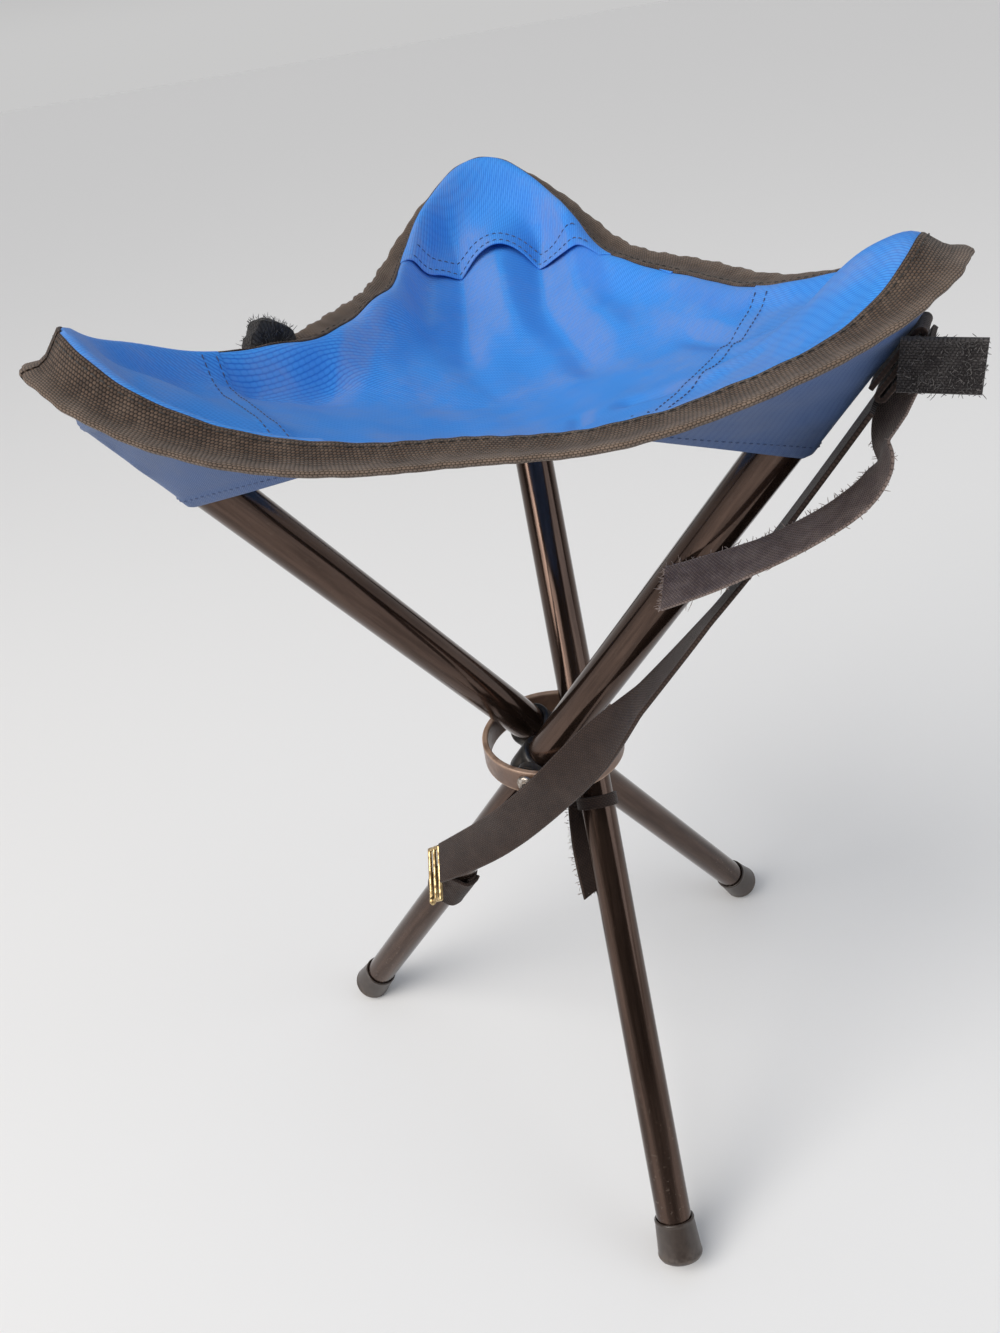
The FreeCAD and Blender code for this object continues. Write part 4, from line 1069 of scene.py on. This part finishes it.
def web_ring(name, leg, middle, wide, inner, thick, first, sweep, material):
    """A web wound round a leg: a circle whose last sixth climbs over its first end."""
    angle = np.radians(np.linspace(first, first + sweep, 110))
    lap = np.clip((np.degrees(angle) - first - 318) / 36, 0, 1)
    radius = inner + thick / 2 + (thick + 0.15) * lap * lap * (3 - 2 * lap)
    round_leg = np.stack([radius * np.cos(angle), radius * np.sin(angle), middle + 0 * angle], -1)
    line = on_leg(leg, round_leg * MM)
    out, under, up = leg_axes(leg)
    face = np.cos(angle)[:, None] * out + np.sin(angle)[:, None] * under
    return web_along(name, line, up * np.ones_like(line), face, wide * MM, thick * MM, material)


loop = web_ring("leg_loop", "right", LOOP_MIDDLE, LOOP_WIDE, LOOP_INNER, STRAP_THICK, 60, 400, brown_web)
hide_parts("leg_strap_loop")
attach(loop, "right_leg")

brass, tree, shader = finish("buckle_brass", metallic=0.95, roughness=0.3)
place = node(tree, "TexCoord").outputs["Object"]
dull = patch_mask(tree, place, 3 * MM, 0.52, 0.16)
tree.links.new(mixed(tree, dull, BRASS, BRASS_DARK), shader.inputs["Base Color"])
tree.links.new(spread(tree, dull, 0, 1, 0.24, 0.55), shader.inputs["Roughness"])
drawn_wire = node(tree, "TexNoise", {"Vector": place, "Scale": 1100.0, "Detail": 2.0})
tree.links.new(node(tree, "Bump", {"Height": drawn_wire.outputs[0], "Strength": 0.2,
                                   "Distance": 0.1 * MM}).outputs[0], shader.inputs["Normal"])
dress("slide_buckle", brass)
polar = np.linspace(0, np.pi, 15)[:, None]
azimuth = np.linspace(0, 2 * np.pi, 24, endpoint=False)[None, :]
ball = np.stack([2.0 * np.sin(polar) * np.cos(azimuth), 2.35 * np.cos(polar) + 0 * azimuth,
                 1.9 * np.sin(polar) * np.sin(azimuth)], -1) * (1 + 0.05 * np.sin(3 * azimuth))[..., None]
ball = (BUCKLE_AT + (BEAD_AT + ball) @ BUCKLE_TILT.T) @ BUCKLE_ROUND.T
bead = make_piece("buckle_bead", on_leg("right", ball * MM), [grid_quads(15, 24, True)], brass)
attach(bead, "right_leg")

# ------------------------------------------------------------------ ribbon strap
# A thinner, softer brown strap hangs from the same corner across the right leg. Its end is cut
# straight, and pale threads have pulled out along its upper edge.
RIBBON_WIDE = 20.0
RIBBON_THICK = 1.2
RIBBON_ROUTE = ((-3.5, 19.9, 249.9), (-3.0, 21.8, 238.9), (4.8, 25.9, 227.4), (11.8, 32.3, 221.9),
                (17.8, 32.4, 208.4), (24.8, 22.6, 185.9), (25.0, 9.0, 159.4), (21.5, -3.8, 136.9))
RIBBON_TWIST = (62, 60, 70, 74, 78, 76, 60)
RIBBON_BROWN = (0.120, 0.080, 0.070, 1)
RIBBON_DEEP = (0.030, 0.018, 0.017, 1)
RIBBON_PALE = (0.34, 0.27, 0.235, 1)
ribbon_web = webbing("ribbon_web", RIBBON_BROWN, RIBBON_DEEP, RIBBON_PALE, 1.4 * MM, 0.8 * MM, 0.5, 0.2 * MM)
pale_thread = thread_finish("pale_thread", (0.16, 0.115, 0.10, 1), RIBBON_PALE)
ribbon_line = route_line(on_leg("right", np.array(RIBBON_ROUTE) * MM))
ribbon_across, ribbon_face = web_frame(ribbon_line, "right", RIBBON_TWIST)
ribbon = web_along("ribbon", ribbon_line, ribbon_across, ribbon_face, RIBBON_WIDE * MM,
                   RIBBON_THICK * MM, ribbon_web)
chance = np.random.default_rng(23)
pick = chance.integers(len(ribbon_line) // 4, len(ribbon_line), 170)
edge = np.where(chance.uniform(size=170) < 0.75, 1.0, -1.0)[:, None]
cut = chance.uniform(-1, 1, (70, 1))
fray_roots = np.concatenate([ribbon_line[pick] + ribbon_across[pick] * edge * RIBBON_WIDE / 2 * MM,
                             ribbon_line[-1] + ribbon_across[-1] * cut * RIBBON_WIDE / 2 * MM])
end_way = ribbon_line[-1] - ribbon_line[-2]
end_way = end_way / np.linalg.norm(end_way)
fray_ways = np.concatenate([ribbon_across[pick] * edge, end_way * np.ones((70, 1))])
ribbon_fray = fibres("ribbon_fray", fray_roots, fray_ways, 2.6 * MM, 0.13 * MM, pale_thread, 29)
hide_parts("ribbon_strap")
for piece in (ribbon, ribbon_fray):
    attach(piece, "right_leg")

# ------------------------------------------------------------------ closure stub
# A short end of doubled black fastening tape stands out at the right corner. Its pile is matted and flecked
# with lint.
STUB_WIDE = 18.0
STUB_THICK = 3.0
STUB_ROUTE = ((11.1, 14.2, 251.9), (11.6, 25.0, 259.05), (12.1, 35.8, 266.2))
STUB_GREY = (0.030, 0.025, 0.026, 1)
STUB_BLACK = (0.010, 0.0085, 0.009, 1)
STUB_LINT = (0.17, 0.155, 0.15, 1)
stub_web = webbing("stub_web", STUB_GREY, STUB_BLACK, STUB_LINT, 1.3 * MM, 0.9 * MM, 0.37, 0.3 * MM)
lint = thread_finish("stub_lint", (0.03, 0.027, 0.028, 1), STUB_LINT)
stub_line = route_line(on_leg("right", np.array(STUB_ROUTE) * MM))
stub_across, stub_face = web_frame(stub_line, "right", (0, 0))
stub = web_along("stub", stub_line, stub_across, stub_face, STUB_WIDE * MM, STUB_THICK * MM, stub_web)
chance = np.random.default_rng(41)
pick = chance.integers(1, len(stub_line), 620)
place_across = chance.uniform(-1, 1, (620, 1))
which_face = np.sign(chance.uniform(-1, 1, (620, 1)))
lint_roots = (stub_line[pick] + stub_across[pick] * place_across * STUB_WIDE / 2 * MM
              + stub_face[pick] * which_face * STUB_THICK / 2 * MM)
lint_ways = stub_face[pick] * which_face * 0.6 + chance.normal(0, 0.6, (620, 3))
lint_ways = lint_ways / np.linalg.norm(lint_ways, axis=1, keepdims=True)
stub_lint = fibres("stub_lint", lint_roots, lint_ways, 1.9 * MM, 0.12 * MM, lint, 43)
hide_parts("closure_stub")
for piece in (stub, stub_lint):
    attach(piece, "right_leg")

# ------------------------------------------------------------------ keeper loop and strap tail
# A narrow turn of webbing is tight round the rear leg below the ring, and the worn tail of a
# strap hangs from it behind the leg, frayed along both edges.
KEEPER_MIDDLE = -34.0
KEEPER_WIDE = 6.0
TAIL_WIDE = 20.0
TAIL_THICK = 1.6
TAIL_ROUTE = ((-3.5, 11.25, -30.0), (-6.0, 12.05, -47.5), (-7.0, 11.65, -63.25), (-6.0, 11.25, -79.0))
TAIL_TWIST = (90, 74, 68, 68)
keeper = web_ring("keeper_loop", "rear", KEEPER_MIDDLE, KEEPER_WIDE, LOOP_INNER, TAIL_THICK, 160, 370,
                  brown_web)
tail_line = route_line(on_leg("rear", np.array(TAIL_ROUTE) * MM))
tail_across, tail_face = web_frame(tail_line, "rear", TAIL_TWIST)
tail = web_along("tail", tail_line, tail_across, tail_face, TAIL_WIDE * MM, TAIL_THICK * MM, brown_web,
                 slant=7.0 * MM)
chance = np.random.default_rng(53)
pick = chance.integers(4, len(tail_line), 150)
edge = np.sign(chance.uniform(-1, 1, (150, 1)))
cut = chance.uniform(-1, 1, (60, 1))
end_way = tail_line[-1] - tail_line[-2]
end_way = end_way / np.linalg.norm(end_way)
fray_roots = np.concatenate([tail_line[pick] + tail_across[pick] * edge * TAIL_WIDE / 2 * MM,
                             tail_line[-1] + tail_across[-1] * cut * TAIL_WIDE / 2 * MM])
fray_ways = np.concatenate([tail_across[pick] * edge, end_way * np.ones((60, 1))])
tail_fray = fibres("tail_fray", fray_roots, fray_ways, 2.2 * MM, 0.13 * MM, pale_thread, 59)
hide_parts("tail_keeper")
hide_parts("strap_tail")
for piece in (keeper, tail, tail_fray):
    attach(piece, "rear_leg")

# ------------------------------------------------------------------ studio
# A pale floor under soft light from the left, and the camera of the photograph.
floor_paint, tree, shader = finish("floor", base_color=(0.80, 0.80, 0.80, 1), roughness=0.6)
floor_mesh = bpy.data.meshes.new("floor")
floor_mesh.from_pydata([(-30, -30, 0), (30, -30, 0), (30, 30, 0), (-30, 30, 0)], [], [(0, 1, 2, 3)])
floor_mesh.materials.append(floor_paint)
floor = bpy.data.objects.new("floor", floor_mesh)
bpy.context.scene.collection.objects.link(floor)


def soft_lamp(name, at, aim, size, power, colour):
    """A square soft box at a point, turned to face another."""
    lamp = bpy.data.lights.new(name, "AREA")
    lamp.shape, lamp.size, lamp.energy, lamp.color = "SQUARE", size, power, colour
    holder = bpy.data.objects.new(name, lamp)
    away = (np.array(at) - aim) / np.linalg.norm(np.array(at) - aim)
    side = np.cross((0, 0, 1), away) + (1e-6, 0, 0)
    side = side / np.linalg.norm(side)
    axes = np.stack([side, np.cross(away, side), away], 1)
    holder.matrix_world = Matrix.Translation(at) @ Matrix(axes.tolist()).to_4x4()
    bpy.context.scene.collection.objects.link(holder)


soft_lamp("window", (-1.6, -0.7, 1.3), (0, 0, 0.3), 1.0, 13, (1.0, 0.95, 0.89))
soft_lamp("fill", (1.7, -0.8, 1.0), (0, 0, 0.3), 1.4, 8, (0.90, 0.95, 1.0))
sky = bpy.data.lights.new("sky", "SUN")
sky.energy, sky.angle, sky.color = 1.7, 0.9, (1.0, 0.97, 0.93)
sky_holder = bpy.data.objects.new("sky", sky)
sky_holder.rotation_euler = (math.radians(20), math.radians(-38), 0)
bpy.context.scene.collection.objects.link(sky_holder)
world = bpy.data.worlds.new("studio")
world.use_nodes = True
tree = world.node_tree
room = tree.nodes["Background"]
room.inputs[0].default_value = (0.86, 0.88, 0.92, 1)
room.inputs[1].default_value = 0.5
rays = node(tree, "LightPath").outputs
seen = maths(tree, "MAXIMUM", rays["Is Camera Ray"],
             maths(tree, "MAXIMUM", rays["Is Glossy Ray"], rays["Is Transmission Ray"]))
up = node(tree, "SeparateXYZ", {0: node(tree, "TexCoord").outputs["Generated"]}).outputs[2]
shade = mixed(tree, spread(tree, up, 0.02, 0.22), (0.585, 0.583, 0.582, 1), (0.045, 0.043, 0.042, 1))
backdrop = node(tree, "Background", {0: shade, 1: 1.0})
both = node(tree, "MixShader", {0: seen, 1: room.outputs[0], 2: backdrop.outputs[0]})
tree.links.new(both.outputs[0], tree.nodes["World Output"].inputs[0])
bpy.context.scene.world = world
bpy.context.scene.view_settings.view_transform = "Standard"

lens = bpy.data.cameras.new("camera")
lens.lens = 28.195
lens.sensor_width = 36.0
camera = bpy.data.objects.new("camera", lens)
right = np.array([0.98389, -0.11112, -0.14002])
down = np.array([-0.17763, -0.51967, -0.83570])
ahead = np.array([0.02010, 0.84711, -0.53103])
turned_to = Matrix(np.stack([right, -down, -ahead], 1).tolist()).to_4x4()
camera.matrix_world = Matrix.Translation((-0.030518, -0.424744, 0.534536)) @ turned_to
bpy.context.scene.collection.objects.link(camera)
bpy.context.scene.camera = camera
